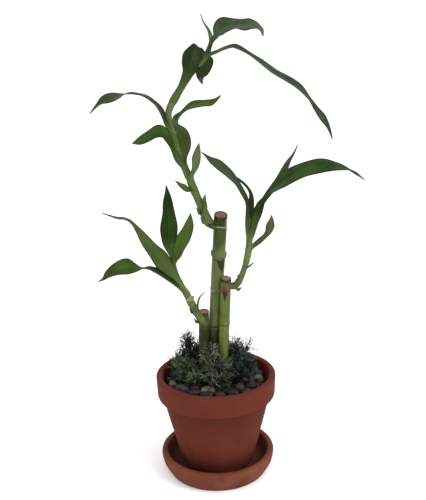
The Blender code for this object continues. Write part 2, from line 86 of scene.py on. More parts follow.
def throw(name, rings, open_ring=False):
    """Throw clay on the wheel: every (radius, height) is drawn up and out from the ring before it."""
    bpy.ops.object.select_all(action="DESELECT")
    first_radius, first_height = rings[0]
    bpy.ops.mesh.primitive_circle_add(
        vertices=WHEEL_SIDES, radius=first_radius * MM, fill_type="NOTHING" if open_ring else "NGON",
        location=(0, 0, first_height * MM))
    piece = start_piece(name)
    bpy.ops.mesh.select_all(action="SELECT")
    for (radius, height), (next_radius, next_height) in zip(rings, rings[1:]):
        rise = (next_height - height) * MM
        spread = next_radius / radius
        bpy.ops.mesh.extrude_region_move(TRANSFORM_OT_translate={"value": (0, 0, rise)})
        bpy.ops.transform.resize(value=(spread, spread, 1), center_override=(0, 0, 0))
    return end_piece(piece)


class Paint:
    """A socket of a material's nodes. Arithmetic on it adds Math nodes, and node() adds any other."""

    def __init__(self, tree, socket=None):
        self.tree = tree
        self.socket = socket

    def node(self, kind, settings=None, sockets=None, output=0):
        """Add a node: its settings first, a ramp's stops among them, then values or links by socket."""
        made = self.tree.nodes.new("ShaderNode" + kind)
        for setting, value in (settings or {}).items():
            if setting == "stops":
                ramp = made.color_ramp
                while len(ramp.elements) < len(value):
                    ramp.elements.new(0.5)
                for stop, (place, colour) in zip(ramp.elements, value):
                    stop.position = place
                    stop.color = (*colour, 1)
            else:
                setattr(made, setting, value)
        for socket, value in (sockets or {}).items():
            self.plug(made.inputs[socket], value)
        return Paint(self.tree, made.outputs[output])

    def plug(self, socket, value):
        if isinstance(value, Paint):
            self.tree.links.new(value.socket, socket)
        elif isinstance(value, tuple) and len(value) == 3 and socket.type == "RGBA":
            socket.default_value = (*value, 1)
        else:
            socket.default_value = value

    def math(self, operation, *values):
        return self.node("Math", {"operation": operation}, dict(enumerate(values)))

    def __add__(self, other):
        return self.math("ADD", self, other)

    def __sub__(self, other):
        return self.math("SUBTRACT", self, other)

    def __rsub__(self, other):
        return self.math("SUBTRACT", other, self)

    def __mul__(self, other):
        return self.math("MULTIPLY", self, other)

    def __truediv__(self, other):
        return self.math("DIVIDE", self, other)

    __radd__ = __add__
    __rmul__ = __mul__

    def size(self):
        """The value without its sign."""
        return self.math("ABSOLUTE", self)

    def step(self, low, high):
        """0 below low and 1 above high, with a soft step between; high may be the smaller one."""
        return self.node("MapRange", {"interpolation_type": "SMOOTHSTEP"}, {
            "Value": self, "From Min": low, "From Max": high})

    def mix(self, first, second):
        """Colour first where this is 0 and colour second where it is 1."""
        return self.node("Mix", {"data_type": "RGBA"}, {0: self, 6: first, 7: second}, output=2)

    def noise(self, place, scale, detail=3.0, rough=0.55):
        return self.node("TexNoise", {}, {
            "Vector": place, "Scale": scale, "Detail": detail, "Roughness": rough})

    def stretch(self, place, scales):
        """Scale a place's three values, so that a pattern runs long where a scale is small."""
        return self.node("VectorMath", {"operation": "MULTIPLY"}, {0: place, 1: scales})


def linear(red, green, blue):
    """Display colour values of 0 to 255 as the linear values that shaders take."""
    return tuple(((value / 255 + 0.055) / 1.055) ** 2.4 for value in (red, green, blue))


def new_finish(name, roughness):
    """A new material: its Principled shader and a first Paint to draw nodes with."""
    material = bpy.data.materials.new(name)
    material.use_nodes = True
    shader = material.node_tree.nodes["Principled BSDF"]
    shader.inputs["Roughness"].default_value = roughness
    return material, shader, Paint(material.node_tree)


def grain(paint, shader, height, strength, distance):
    """Raise the surface by a pattern."""
    bump = paint.node("Bump", {}, {"Height": height, "Strength": strength, "Distance": distance})
    paint.plug(shader.inputs["Normal"], bump)


# Over how many metres the darker foot (partly damp, partly painted shade), the painted shade under the rim
# band and the painted shade in the saucer's well fade out on the clay
DAMP_AND_SHADE_FADE, RIM_SHADE_FADE, WELL_SHADE_FADE = 0.040, 0.030, 0.002
# Heights in metres between which the painted shade of the rim ends, just under the pot's rim band
RIM_SHADE_TOP, RIM_SHADE_END = 0.0728, 0.0745


def fired_clay(name, body, dusty, dark, damp_and_shade_to, rim_shade_from=1.0, shaded_well_radius=0.0):
    """Unglazed terracotta: fine grog, cloudy colour, faint wheel lines and pits, a foot darker with damp and
    painted shade, painted shade under the rim band and in a saucer's well.
    """
    material, shader, paint = new_finish(name, 0.88)
    place = paint.node("TexCoord", output=3)
    height = paint.node("SeparateXYZ", {}, {0: place}, output=2)
    cloud = paint.noise(place, 34, 4)
    speck = paint.noise(place, 900, 2)
    wheel = paint.noise(paint.stretch(place, (8.0, 8.0, 900.0)), 1.0, 2)
    colour = cloud.step(0.35, 0.7).mix(body, dusty)
    colour = (speck.step(0.56, 0.74) * 0.35).mix(colour, dark)
    colour = (wheel.step(0.5, 0.75) * 0.12).mix(colour, dusty)
    stain = paint.noise(paint.stretch(place, (60.0, 60.0, 25.0)), 1.0, 4).step(0.55, 0.75)
    colour = (stain * height.step(0.05, 0.01) * 0.5).mix(colour, dark)
    # darker towards the foot: partly damp clay, partly painted shade where the saucer shades the pot
    damp_and_foot_shade = height + cloud * 0.02
    colour = (damp_and_foot_shade.step(damp_and_shade_to, damp_and_shade_to - DAMP_AND_SHADE_FADE) * 0.18).mix(colour, dark)
    # painted shade: a band from the given height up to the rim band is darkened as the rim's shadow
    painted_rim_shade = height.step(rim_shade_from, rim_shade_from + RIM_SHADE_FADE) * height.step(RIM_SHADE_END, RIM_SHADE_TOP)
    colour = (painted_rim_shade * 0.36).mix(colour, dark)
    # painted shade: the saucer's well, inside the given radius, between the pot and the saucer's wall, is
    # darkened
    if shaded_well_radius:
        flat_place = paint.stretch(place, (1, 1, 0))
        radius = paint.node("VectorMath", {"operation": "LENGTH"}, {0: flat_place}, output=1)
        colour = (radius.step(shaded_well_radius, shaded_well_radius - WELL_SHADE_FADE) * 0.55).mix(colour, dark)
    paint.plug(shader.inputs["Base Color"], colour)
    paint.plug(shader.inputs["Roughness"], 0.8 + cloud * 0.15)
    shader.inputs["Specular IOR Level"].default_value = 0.12
    grain(paint, shader, speck * 0.5 + wheel * 0.35 + paint.noise(place, 2600, 2) * 0.5, 0.22, 0.0004)
    return material


saucer = throw("saucer_dish", [
    (44.4, 0.0), (45.4, 0.4), (46.8, 3.0), (48.6, 6.0), (49.8, 8.0), (50.5, 9.6), (50.8, 11.2),
    (51.4, 13.4), (51.8, 15.8), (51.8, 17.0), (51.4, 18.2), (50.7, 19.0), (49.6, 19.3), (48.0, 19.3),
    (46.9, 19.0), (46.1, 18.3), (45.8, 17.2), (45.4, 15.4), (44.4, 12.8), (43.0, 10.2), (41.8, 9.0),
    (40.4, 8.1), (38.0, 7.4), (20.0, 7.4),
])
saucer_clay = fired_clay("saucer_clay", linear(101, 54, 39), linear(112, 64, 48), linear(60, 24, 18), 0.0,
                         shaded_well_radius=0.0458)
dress(saucer, saucer_clay, "clay_saucer", "saucer")

# ---- Pot
# A standard flower pot of the same red clay: a tapered body under a thick rolled rim band, with one
# drain hole in its floor. It is thrown like the saucer and stands loose on it.

POT_RINGS = [
    (6.0, 7.7), (31.4, 7.7), (32.4, 8.2), (32.9, 9.5), (36.6, 24.0), (40.4, 39.0), (44.2, 54.0),
    (48.6, 72.4), (49.0, 73.2), (50.2, 73.4), (52.0, 73.5), (52.9, 74.0), (53.3, 75.2), (53.5, 80.0),
    (53.8, 87.0), (54.0, 91.0), (53.9, 92.0), (53.4, 92.7), (52.4, 93.0), (51.0, 93.1), (49.6, 93.0),
    (48.8, 92.6), (48.4, 91.8), (48.2, 90.6), (47.8, 84.0), (47.3, 74.0), (42.4, 69.0), (35.6, 42.0),
    (28.6, 15.2), (28.0, 14.7), (6.0, 14.7), (6.0, 7.7),
]
pot = throw("clay_pot", POT_RINGS, open_ring=True)
# The pot's clay has painted shade under its rim band from 36 mm up, and a foot darker below 60 mm, partly
# damp and partly painted shade.
pot_clay = fired_clay("pot_clay", linear(88, 37, 27), linear(95, 43, 32), linear(58, 20, 13), 0.060, 0.036)
dress(pot, pot_clay, "clay_pot", "pot")

# ---- Soil
# Dark, gritty potting mix. It fills the pot and grips the feet of the canes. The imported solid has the
# right shape, so it stays and only gets its look.

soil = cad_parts["soil"]
soil_finish, soil_shader, paint = new_finish("potting_soil", 0.95)
place = paint.node("TexCoord", output=3)
crumbs = paint.noise(place, 420, 5)
soil_colour = crumbs.node("ValToRGB", {"stops": [
    (0.30, linear(12, 9, 8)), (0.55, linear(24, 19, 16)), (0.75, linear(44, 35, 28))]}, {0: crumbs})
paint.plug(soil_shader.inputs["Base Color"], soil_colour)
grain(paint, soil_shader, crumbs, 0.9, 0.002)
soil.data.materials.clear()
soil.data.materials.append(soil_finish)

# ---- Canes
# Three lengths of dracaena stem, sawn off a little aslant and rooted in the soil. Leaf scars ring them at
# the nodes, and the cut tops dry to a brown rim round pale, stringy pith.

CANE_SIDES = 40
# Foot and head of the centre line in mm, radius, slope of the cut towards the front, and the nodes:
# height, swell, half height and colour of each ring, its tilt to the right and its dip at the front
CANES = {
    "cane_tall": {
        "foot": (-6.6, 13, 40), "head": (8.0, 13, 236.0), "radius": 5.9, "slope": 0.33,
        "nodes": [
            (134.6, 0.25, 0.8, linear(78, 64, 40), 0.00, 0.8),
            (168.2, 0.35, 0.7, linear(132, 136, 92), -0.04, 1.0),
            (200.4, 1.15, 1.5, linear(98, 74, 56), -0.13, 3.2),
            (224.5, 0.30, 0.6, linear(146, 142, 108), -0.09, -1.1)]},
    "cane_mid": {
        "foot": (3.4, 4, 40), "head": (11.3, 4, 180.5), "radius": 4.6, "slope": 0.22,
        "nodes": [
            (139.6, 0.45, 1.0, linear(112, 84, 48), -0.08, 1.4),
            (170.6, 0.40, 0.8, linear(92, 60, 44), 0.20, 0.8)]},
    "cane_short": {
        "foot": (-12.2, 3, 40), "head": (-9.4, 7, 149.2), "radius": 4.6, "slope": 0.22,
        "nodes": [
            (138.4, 0.35, 0.9, linear(92, 84, 50), 0.10, 0.8)]},
}
# Section of a node ring: place in half heights above its middle, and share of its swell
RING_SECTION = ((-2.4, 0), (-1.2, 0.15), (-0.8, 0.8), (0, 1), (0.5, 0.9), (0.9, 0.2), (1.8, -0.1))
# The saw cut from the rim inwards, width and rise of each step in metres: a bark rim, a drop to the pith
# and two steps up to its domed middle
SAWN_STEPS = ((0.0005, 0.0), (0.0004, -0.0005), (0.0012, 0.0001), (0.0014, 0.0002))
# Heights in mm at which the bark has corners between its nodes: the first, the gap and how far from the cut
BARK_FROM, BARK_GAP, BARK_STOP = 90, 12, 3
# How near a corner lies to its level and to the saw cut to count as on it, in metres
LEVEL_SLACK, CUT_SLACK = 0.00004, 0.0002
# How deep the sawn end reaches and how thick the bark round it is, in metres
SAWN_DEPTH, BARK = 0.0012, 0.0006
# Over how many mm the tilt of a node fades along the cane
NODE_REACH = 8


def select_where(piece, test):
    """Select the corners of the open piece that pass a test on their place."""
    bpy.ops.mesh.select_all(action="DESELECT")
    bpy.ops.object.mode_set(mode="OBJECT")
    for corner in piece.data.vertices:
        corner.select = test(corner.co)
    bpy.ops.object.mode_set(mode="EDIT")


def saw_cane(name, cane):
    """A cylinder along the cane's line, ringed at its nodes and sawn off with a frayed rim."""
    foot, head = Vector(cane["foot"]) * MM, Vector(cane["head"]) * MM
    axis = head - foot
    radius = cane["radius"] * MM
    bpy.ops.object.select_all(action="DESELECT")
    bpy.ops.mesh.primitive_cylinder_add(
        vertices=CANE_SIDES, radius=radius, depth=axis.length, end_fill_type="NGON",
        location=(foot + head) / 2, rotation=Vector((0, 0, 1)).rotation_difference(axis).to_euler())
    piece = start_piece(name)
    bpy.ops.mesh.select_mode(type="VERT")

    def line_at(height):
        return foot + axis * ((height - foot.z) / axis.z)

    bark_heights = range(BARK_FROM, int(cane["head"][2]) - BARK_STOP, BARK_GAP)
    levels = [(height * MM, 0.0) for height in bark_heights]
    for height, swell, half, *_ in cane["nodes"]:
        for offset, share in RING_SECTION:
            levels.append(((height + offset * half) * MM, share * swell * MM))
    for height, _ in levels:
        bpy.ops.mesh.select_all(action="SELECT")
        bpy.ops.mesh.bisect(plane_co=(0, 0, height), plane_no=(0, 0, 1))
    for height, rise in levels:
        select_where(piece, lambda place: abs(place.z - height) < LEVEL_SLACK)
        spread = (radius + rise) / radius
        bpy.ops.transform.resize(value=(spread, spread, 1), center_override=line_at(height))
    # the saw cut: a thin bark rim, then pith a little lower, then a domed middle
    select_where(piece, lambda place: (place - foot).dot(axis) / axis.length > axis.length - CUT_SLACK)
    bpy.ops.mesh.select_mode(type="FACE")
    for thickness, sink in SAWN_STEPS:
        bpy.ops.mesh.inset(thickness=thickness, depth=sink)
    bpy.ops.mesh.select_mode(type="VERT")
    bpy.ops.mesh.select_all(action="SELECT")
    bpy.ops.mesh.normals_make_consistent(inside=False)
    bpy.ops.object.mode_set(mode="OBJECT")
    draw = random.Random(name)
    for corner in piece.data.vertices:
        along = (corner.co - foot).dot(axis) / axis.length
        centre = foot + axis * (along / axis.length)
        out = corner.co - centre
        if along > axis.length - SAWN_DEPTH:
            corner.co.z += (corner.co.y - centre.y) * cane["slope"]
            if out.length > radius - BARK:
                corner.co += axis.normalized() * draw.uniform(-0.00035, 0.00015)
        else:
            ripple = noise.noise(Vector((out.x, out.y, corner.co.z * 0.12)) * 260) * 0.00018
            corner.co += out.normalized() * ripple
            level = corner.co.z
            for height, swell, half, _, tilt, dip in cane["nodes"]:
                near = max(0.0, 1 - abs(level - height * MM) / (NODE_REACH * MM))
                corner.co.z += near * (tilt * out.x + dip * MM * out.y / radius)
                if abs(level - height * MM) < half * MM:
                    torn = noise.noise(out.normalized() * 3 + corner.co * 300)
                    corner.co += out.normalized() * torn * swell * 0.5 * MM
    bpy.ops.object.shade_smooth_by_angle(angle=math.radians(50))
    return piece


def cane_skin(name, cane, fresh, light, deep, shade_from, marks):
    """Waxy green bark: long streaks, dry rings at the nodes, brown at the saw cut, painted shade low down."""
    material, shader, paint = new_finish(name, 0.42)
    shader.inputs["Specular IOR Level"].default_value = 0.14
    foot, head = Vector(cane["foot"]) * MM, Vector(cane["head"]) * MM
    radius = cane["radius"] * MM
    lean = (head - foot) / (head.z - foot.z)
    place = paint.node("TexCoord", output=3)
    parts = [paint.node("SeparateXYZ", {}, {0: place}, output=k) for k in range(3)]
    height = parts[2]
    right = parts[0] - (height - foot.z) * lean.x - foot.x
    back = parts[1] - (height - foot.z) * lean.y - foot.y

    def barred(across, along, detail):
        """Noise that runs with the grain: this fine across the cane and this fine along it."""
        return paint.noise(paint.node("CombineXYZ", {}, {
            0: right * across, 1: back * across, 2: height * along}), 1.0, detail)

    streak, fine, blotch = barred(420, 9, 4), barred(1500, 30, 2), barred(90, 45, 3)
    colour = blotch.step(0.36, 0.66).mix(fresh, light)
    colour = (streak.step(0.44, 0.70) * 0.40).mix(colour, light)
    colour = (streak.step(0.50, 0.30) * 0.45).mix(colour, deep)
    colour = (fine.step(0.5, 0.72) * 0.30).mix(colour, deep)
    # painted shade: the bark darkens below shade_from, low on the cane
    lower = (height + streak * 0.004).step(shade_from + 0.003, shade_from - 0.003)
    colour = (lower * 0.85).mix(colour, deep)
    torn = barred(260, 500, 3)
    for low, high, centre, width, strength, tint in marks:
        # a wedge-shaped mark under a node, widest at its top
        drop = (height - low * MM) / ((high - low) * MM)
        side = (right - centre * MM).size() / (width * MM)
        ragged_side = (drop - side + (torn - 0.5) * 0.5).step(0.0, 0.25)
        wedge = ragged_side * drop.step(1.04, 0.98) * back.step(0.001, -0.001)
        colour = (wedge * strength).mix(colour, tint)
    for level, swell, half, tint, tilt, dip in cane["nodes"]:
        level_here = height - right * tilt - back * (dip / cane["radius"]) - level * MM
        off = level_here + (streak - 0.5) * (half * 0.9 * MM)
        under_line = (off + half * 1.4 * MM).size().step(half * 0.50 * MM, half * 0.15 * MM)
        ring = off.size().step(half * 1.15 * MM, half * 0.75 * MM)
        lip = (off + half * 0.8 * MM).size().step(half * 0.35 * MM, half * 0.10 * MM)
        colour = (ring * (0.55 + streak * 0.7)).mix(colour, tint)
        colour = (ring * torn.step(0.50, 0.64) * 0.65).mix(colour, linear(58, 38, 28))
        colour = (lip * (0.7 if swell > 0.8 else 0.0)).mix(colour, linear(152, 128, 106))
        colour = (under_line * 0.7).mix(colour, linear(30, 34, 20))
    top = height - back * cane["slope"]
    ragged = barred(650, 0, 2)
    cut = (top + (ragged - 0.5) * 0.0050).step(head.z - 0.0026, head.z - 0.0020)
    colour = cut.mix(colour, fine.step(0.4, 0.65).mix(linear(40, 26, 18), linear(82, 58, 42)))
    from_axis = paint.math("SQRT", right * right + back * back)
    pith = from_axis.step(radius * 0.95, radius * 0.80)
    face = top.step(head.z - 0.0016, head.z - 0.0010)
    fibres = paint.noise(place, 1400, 3)
    pith_colour = fibres.step(0.35, 0.68).mix(linear(104, 84, 62), linear(144, 124, 96))
    colour = (face * pith).mix(colour, pith_colour)
    paint.plug(shader.inputs["Base Color"], colour)
    paint.plug(shader.inputs["Roughness"], 0.36 + streak * 0.12 + cut * 0.4)
    grain(paint, shader, streak * 0.6 + fine * 0.4, 0.30, 0.0003)
    return material


# Bark of each cane: fresh, light and deep colours, the height in metres under which painted shade darkens it,
# and its marks on the front: lowest and highest point, middle and half width in mm, strength and colour
CANE_LOOKS = {
    "cane_tall": (linear(66, 82, 34), linear(92, 104, 56), linear(36, 50, 20), 0.1338, [
        # painted light: the tall cane's front is lightened between 120 and 202 mm
        (120, 202, -1.0, 60.0, 0.30, linear(104, 114, 66)),
        (203, 228, -1.0, 22.0, 0.85, linear(50, 68, 26)),
        (182, 197.8, 3.0, 6.6, 0.95, linear(20, 36, 16)), (223, 240, 0.0, 16.0, 0.9, linear(28, 46, 18)),
        (221, 233, 5.6, 1.6, 0.85, linear(146, 140, 116))]),
    "cane_mid": (linear(76, 90, 34), linear(98, 110, 54), linear(54, 66, 24), 0.1000, [
        (170, 186, 0.0, 16.0, 0.5, linear(52, 54, 30)), (164, 173.6, -0.8, 5.0, 0.85, linear(84, 46, 36)),
        (158, 168.4, -0.6, 2.6, 0.9, linear(30, 26, 14)),
        (169.5, 173.4, 1.4, 2.2, 0.7, linear(108, 76, 64))]),
    "cane_short": (linear(60, 66, 32), linear(76, 84, 46), linear(28, 38, 14), 0.1378, [
        (139, 160, 0.0, 16.0, 0.45, linear(44, 40, 26))]),
}
for name, cane in CANES.items():
    skin = cane_skin(name + "_skin", cane, *CANE_LOOKS[name])
    dress(saw_cane("sawn_" + name, cane), skin, "cane_green", name)

# ---- River stones
# Loose water-worn pebbles, brown, tan and slate, that cover the soil to just under the rim. Each one is
# a ball of stone knocked out of round, smoothed and laid flat, and no two are alike.

# The stone colours are set darker than the stones are, as painted shade from the pot's wall over the bed.
BROWN, TAN, OLIVE, RED = linear(44, 34, 31), linear(104, 86, 66), linear(44, 37, 27), linear(46, 24, 20)
SLATE, PURPLE, PALE, BLUE = linear(26, 25, 28), linear(26, 19, 22), linear(92, 84, 70), linear(32, 37, 46)
# Stones at the front, where the pot shows them best, in mm: place, half sizes, turn in degrees and colour
FRONT_STONES = [
    (-31, -15, 8.0, 6.4, 5.6, 15, linear(58, 48, 45)), (-39.5, -6, 5.2, 4.6, 4.4, 70, linear(88, 76, 52)),
    (-8, -20.5, 7.6, 5.2, 4.4, 5, TAN), (-19, -25.5, 6.2, 4.6, 3.6, 15, OLIVE),
    (-18.5, -14.5, 6.0, 5.0, 4.2, 10, RED), (-8, -29, 7.4, 4.6, 3.4, 0, SLATE),
    (3.5, -31.5, 5.0, 4.4, 3.2, 10, BROWN), (8, -23, 5.0, 4.4, 3.4, 40, PURPLE),
    (14, -27, 7.0, 4.4, 3.0, 165, linear(32, 24, 22)), (21, -15, 5.6, 5.0, 4.6, 120, linear(58, 45, 38)),
    (31, -13, 7.4, 5.2, 4.6, 15, PURPLE), (32, -1.5, 4.0, 4.0, 4.8, 0, linear(56, 46, 40)),
    (38.5, 2.5, 5.0, 3.8, 4.4, 20, PALE), (40, -6.5, 5.0, 4.0, 3.6, 80, OLIVE),
    (40, 11.5, 6.0, 5.0, 4.6, 100, BLUE), (-28, -27, 5.2, 4.6, 3.4, 140, PURPLE),
    (26, -26.5, 5.4, 4.6, 3.4, 40, BROWN), (40, 20, 5.4, 4.6, 4.4, 60, SLATE),
    (-25, -8, 4.0, 3.6, 3.4, 0, SLATE), (-34, -22, 4.2, 3.8, 3.2, 30, SLATE),
]
STONE_TOP = 88.6
# Rings of other stones: radius in mm and number, the last ring laid deeper to fill the gaps
STONE_RINGS = [(42, 22), (34, 17), (25, 12), (38, 19)]
FILLING_RING = 3
STONE_TINTS = (BROWN, SLATE, SLATE, PURPLE, OLIVE, BLUE, RED, PURPLE, BROWN)
ROUND_THE_RIM = 46.2
# How near a front stone another is pushed under it, and how deep, in mm
STONE_ROOM = 6.5
PUSHED_UNDER = 2.4


def river_stone(number, x, y, sizes, turn, low, tint):
    """Knock an icosphere out of round, smooth it, and lay it on the bed with its colour painted on."""
    bpy.ops.object.select_all(action="DESELECT")
    bpy.ops.mesh.primitive_ico_sphere_add(subdivisions=3, radius=1, location=(0, 0, 0))
    stone = start_piece(f"stone_{number}")
    bpy.ops.transform.vertex_random(offset=0.30, uniform=0.2, normal=0.9, seed=number)
    bpy.ops.mesh.vertices_smooth(factor=0.5, repeat=6)
    bpy.ops.object.mode_set(mode="OBJECT")
    draw = random.Random(number)
    reach = max(corner.co.length for corner in stone.data.vertices)
    lay = (Matrix.Translation((x * MM, y * MM, (STONE_TOP - low - sizes[2]) * MM))
           @ Matrix.Rotation(math.radians(turn), 4, "Z")
           @ Matrix.Rotation(draw.uniform(-0.2, 0.2), 4, "X")
           @ Matrix.Diagonal((sizes[0] * MM / reach, sizes[1] * MM / reach, sizes[2] * MM / reach, 1)))
    stone.data.transform(lay)
    colours = stone.data.attributes.new("stone_colour", "FLOAT_COLOR", "POINT")
    shade = draw.uniform(0.85, 1.15)
    own_tint = [part * shade for part in tint] + [1]
    colours.data.foreach_set("color", own_tint * len(stone.data.vertices))
    return stone


def join_smooth(pieces):
    """Join finished pieces into one that is smooth all over."""
    bpy.ops.object.select_all(action="DESELECT")
    for piece in pieces:
        piece.select_set(True)
    bpy.context.view_layer.objects.active = pieces[0]
    if len(pieces) > 1:
        bpy.ops.object.join()
    bpy.ops.object.shade_smooth()
    return bpy.context.object


def stone_bed():
    """The front stones, then rings of others, pushed under where they meet one, joined into one bed."""
    places = [(x, y, (a, b, c), turn, 0.0, tint) for x, y, a, b, c, turn, tint in FRONT_STONES]
    draw = random.Random(4)
    for layer, (ring_radius, count) in enumerate(STONE_RINGS):
        for k in range(count):
            angle = math.tau * (k + draw.uniform(-0.25, 0.25)) / count
            x, y = ring_radius * math.cos(angle), ring_radius * math.sin(angle)
            sizes = (draw.uniform(4.6, 6.6), draw.uniform(3.8, 5.0), draw.uniform(3.2, 4.2))
            tint = draw.choice(STONE_TINTS)
            near_front = any(math.hypot(x - front[0], y - front[1]) < STONE_ROOM for front in FRONT_STONES)
            low = PUSHED_UNDER if near_front or layer == FILLING_RING else draw.uniform(0.2, 1.2)
            turn = math.degrees(angle) + 90 + draw.uniform(-30, 30)
            places.append((x, y, sizes, turn, low, tint))
    stones = []
    for number, (x, y, sizes, turn, low, tint) in enumerate(places):
        pull = min(1.0, (ROUND_THE_RIM - sizes[1]) / math.hypot(x, y))
        stones.append(river_stone(number, x * pull, y * pull, sizes, turn, low, tint))
    bed = join_smooth(stones)
    bed.name = "river_stones"
    return bed


stone_finish, stone_shader, paint = new_finish("river_stone", 0.4)
place = paint.node("TexCoord", output=3)
own_colour = paint.node("Attribute", {"attribute_name": "stone_colour"})
veining = paint.noise(place, 260, 5)
speckle = paint.noise(place, 1600, 2)
stone_colour = (veining.step(0.45, 0.70) * 0.50).mix(own_colour, linear(14, 11, 10))
stone_colour = (veining.step(0.46, 0.28) * 0.22).mix(stone_colour, linear(84, 72, 58))
stone_colour = (speckle.step(0.60, 0.75) * 0.18).mix(stone_colour, linear(80, 72, 62))
paint.plug(stone_shader.inputs["Base Color"], stone_colour)
paint.plug(stone_shader.inputs["Roughness"], 0.34 + veining * 0.25)
stone_shader.inputs["Specular IOR Level"].default_value = 0.16
grain(paint, stone_shader, veining * 0.6 + speckle * 0.4, 0.2, 0.0005)
dress(stone_bed(), stone_finish, "river_stone", "pebbles")

# ---- Side shoots
# One green shoot springs from the top node of each cane, and these shoots carry all the leaves. Each is a
# soft round stem, drawn in at its heel, where it broke out through the bark, and at its tip.

# Centre line of each shoot in mm, with its thickness
SHOOTS = {
    "shoot_tall": [
        (5, 13, 225, 6.0), (1, 13, 226.3, 7.4), (-2.5, 12.5, 229.3, 8.2), (-5.2, 12, 235, 8.0),
        (-8, 10.5, 242, 7.4), (-12, 8.5, 252, 6.8), (-15.5, 8, 261.5, 6.4), (-19, 8, 271, 6.0),
        (-24, 8.5, 283, 5.8), (-27.6, 9.5, 294, 5.6), (-30.8, 11, 306, 5.4), (-33.6, 12, 318, 5.2),
        (-34, 12, 325, 5.6), (-30.5, 12, 333, 6.2), (-23, 12, 344, 5.6), (-17.6, 13, 351, 4.4),
        (-12.4, 13, 356.4, 2.6), (-6.6, 12.4, 362.6, 2.2), (-2.4, 12, 368, 2.8), (0.4, 12, 373, 3.6),
        (2.4, 12, 378.5, 2.8)],
    "shoot_mid": [
        (12, 4, 174, 5.4), (17, 4, 173, 6.4), (20.5, 3, 175, 6.2), (23.8, 2, 180.5, 5.6),
        (26.5, 2, 187, 5.2), (29, 2, 195, 5.0), (31, 2, 204.5, 5.2), (32, 2, 214, 4.6),
        (32.5, 2, 224, 3.8), (33.5, 2, 234, 2.4)],
    "shoot_short": [
        (-9.4, 7, 139.6, 5.0), (-10, 3.4, 140.4, 6.0), (-11.6, 0.6, 143.2, 6.8), (-14, -0.6, 147.6, 7.0),
        (-17, -0.5, 153, 7.0), (-20, 0.5, 159, 6.6), (-23.5, 1.5, 166.5, 6.0), (-28, 2, 175, 5.2),
        (-32, 2, 184, 4.8), (-34.5, 2.5, 192, 4.0), (-35.5, 3, 199, 2.6)],
    "tendril": [
        (-14.4, 1, 150, 2.0), (-14.6, 0.5, 157, 2.0), (-13.2, 0, 162.8, 1.8), (-10.8, -0.5, 166.8, 1.2),
        (-7.2, -1, 169.8, 0.4)],
}


class Run:
    """A smooth line through rows of x, y, z and other values, with a side that never spins."""

    def __init__(self, rows, steps=12):
        first = [2 * a - b for a, b in zip(rows[0], rows[1])]
        last = [2 * a - b for a, b in zip(rows[-1], rows[-2])]
        padded = [first, *rows, last]
        smooth = []
        for a, b, c, d in zip(padded, padded[1:], padded[2:], padded[3:]):
            for step in range(steps):
                t = step / steps
                smooth.append([0.5 * (2 * q + (r - p) * t + (2 * p - 5 * q + 4 * r - s) * t * t
                                      + (3 * q - p - 3 * r + s) * t ** 3) for p, q, r, s in zip(a, b, c, d)])
        smooth.append(list(rows[-1]))
        self.centre = [Vector(row[:3]) * MM for row in smooth]
        self.more = [row[3:] for row in smooth]
        ends = len(smooth) - 1
        self.along = [(self.centre[min(k + 1, ends)] - self.centre[max(k - 1, 0)]).normalized()
                      for k in range(ends + 1)]
        self.side = [Vector((0, 1, 0)).cross(self.along[0]).normalized()]
        for way in self.along[1:]:
            self.side.append((self.side[-1] - way * self.side[-1].dot(way)).normalized())
        self.reach = [0.0]
        for a, b in zip(self.centre, self.centre[1:]):
            self.reach.append(self.reach[-1] + (b - a).length)

    def at(self, reach):
        """Place, direction, side and other values at a distance along; past its ends it runs straight."""
        inside = min(max(reach, 0.0), self.reach[-1])
        k = 0
        while k < len(self.reach) - 2 and self.reach[k + 1] < inside:
            k += 1
        share = (inside - self.reach[k]) / max(self.reach[k + 1] - self.reach[k], 1e-9)
        along = self.along[k].lerp(self.along[k + 1], share).normalized()
        place = self.centre[k].lerp(self.centre[k + 1], share) + along * (reach - inside)
        side = self.side[k].lerp(self.side[k + 1], share).normalized()
        return place, along, side, [a + (b - a) * share for a, b in zip(self.more[k], self.more[k + 1])]

    def nearest(self, place):
        """How far along the line it comes nearest to a place."""
        k = min(range(len(self.centre)), key=lambda n: (self.centre[n] - place).length)
        return self.reach[k]


def lay_grid(name, across, along, place):
    """A flat grid whose corners are carried to their places; its UV map keeps across and along."""
    bpy.ops.object.select_all(action="DESELECT")
    bpy.ops.mesh.primitive_grid_add(x_subdivisions=across, y_subdivisions=along, size=2, calc_uvs=True)
    piece = bpy.context.object
    piece.name = name
    piece.data.name = name
    for corner in piece.data.vertices:
        corner.co = place((corner.co.x + 1) / 2, (corner.co.y + 1) / 2)
    return piece


# Length of a stem's facets in mm, and how far it swells and shrinks round its middle line
STEM_STEP = 1.2
STEM_RIPPLE = 0.03


def stem(name, rows, sides=20, rounded=0.0):
    """A round stem along a run, closed at both ends; rounded is how far its heel and tip draw in."""
    run = Run(rows)

    def place(u, v):
        centre, along, side, (thickness,) = run.at(v * run.reach[-1])
        tip = min(v, 1 - v) * run.reach[-1] / (thickness * MM)
        radius = thickness * MM / 2 * (1 - rounded * max(0.0, 1 - tip * 4) ** 2)
        angle = u * math.tau
        ripple = 1 + STEM_RIPPLE * math.sin(3 * angle + v * 9)
        return centre + (side * math.cos(angle) + along.cross(side) * math.sin(angle)) * radius * ripple

    piece = lay_grid(name, sides, max(12, int(run.reach[-1] / MM / STEM_STEP)), place)
    bpy.ops.object.mode_set(mode="EDIT")
    bpy.ops.mesh.select_all(action="SELECT")
    bpy.ops.mesh.remove_doubles(threshold=0.00001)
    bpy.ops.mesh.select_mode(type="EDGE")
    bpy.ops.mesh.select_all(action="DESELECT")
    bpy.ops.mesh.select_non_manifold(extend=False)
    bpy.ops.mesh.fill_holes(sides=0)
    return end_piece(piece, 60)


CLASP_GREEN = linear(86, 102, 52)
DRY_TIP = linear(78, 74, 66)


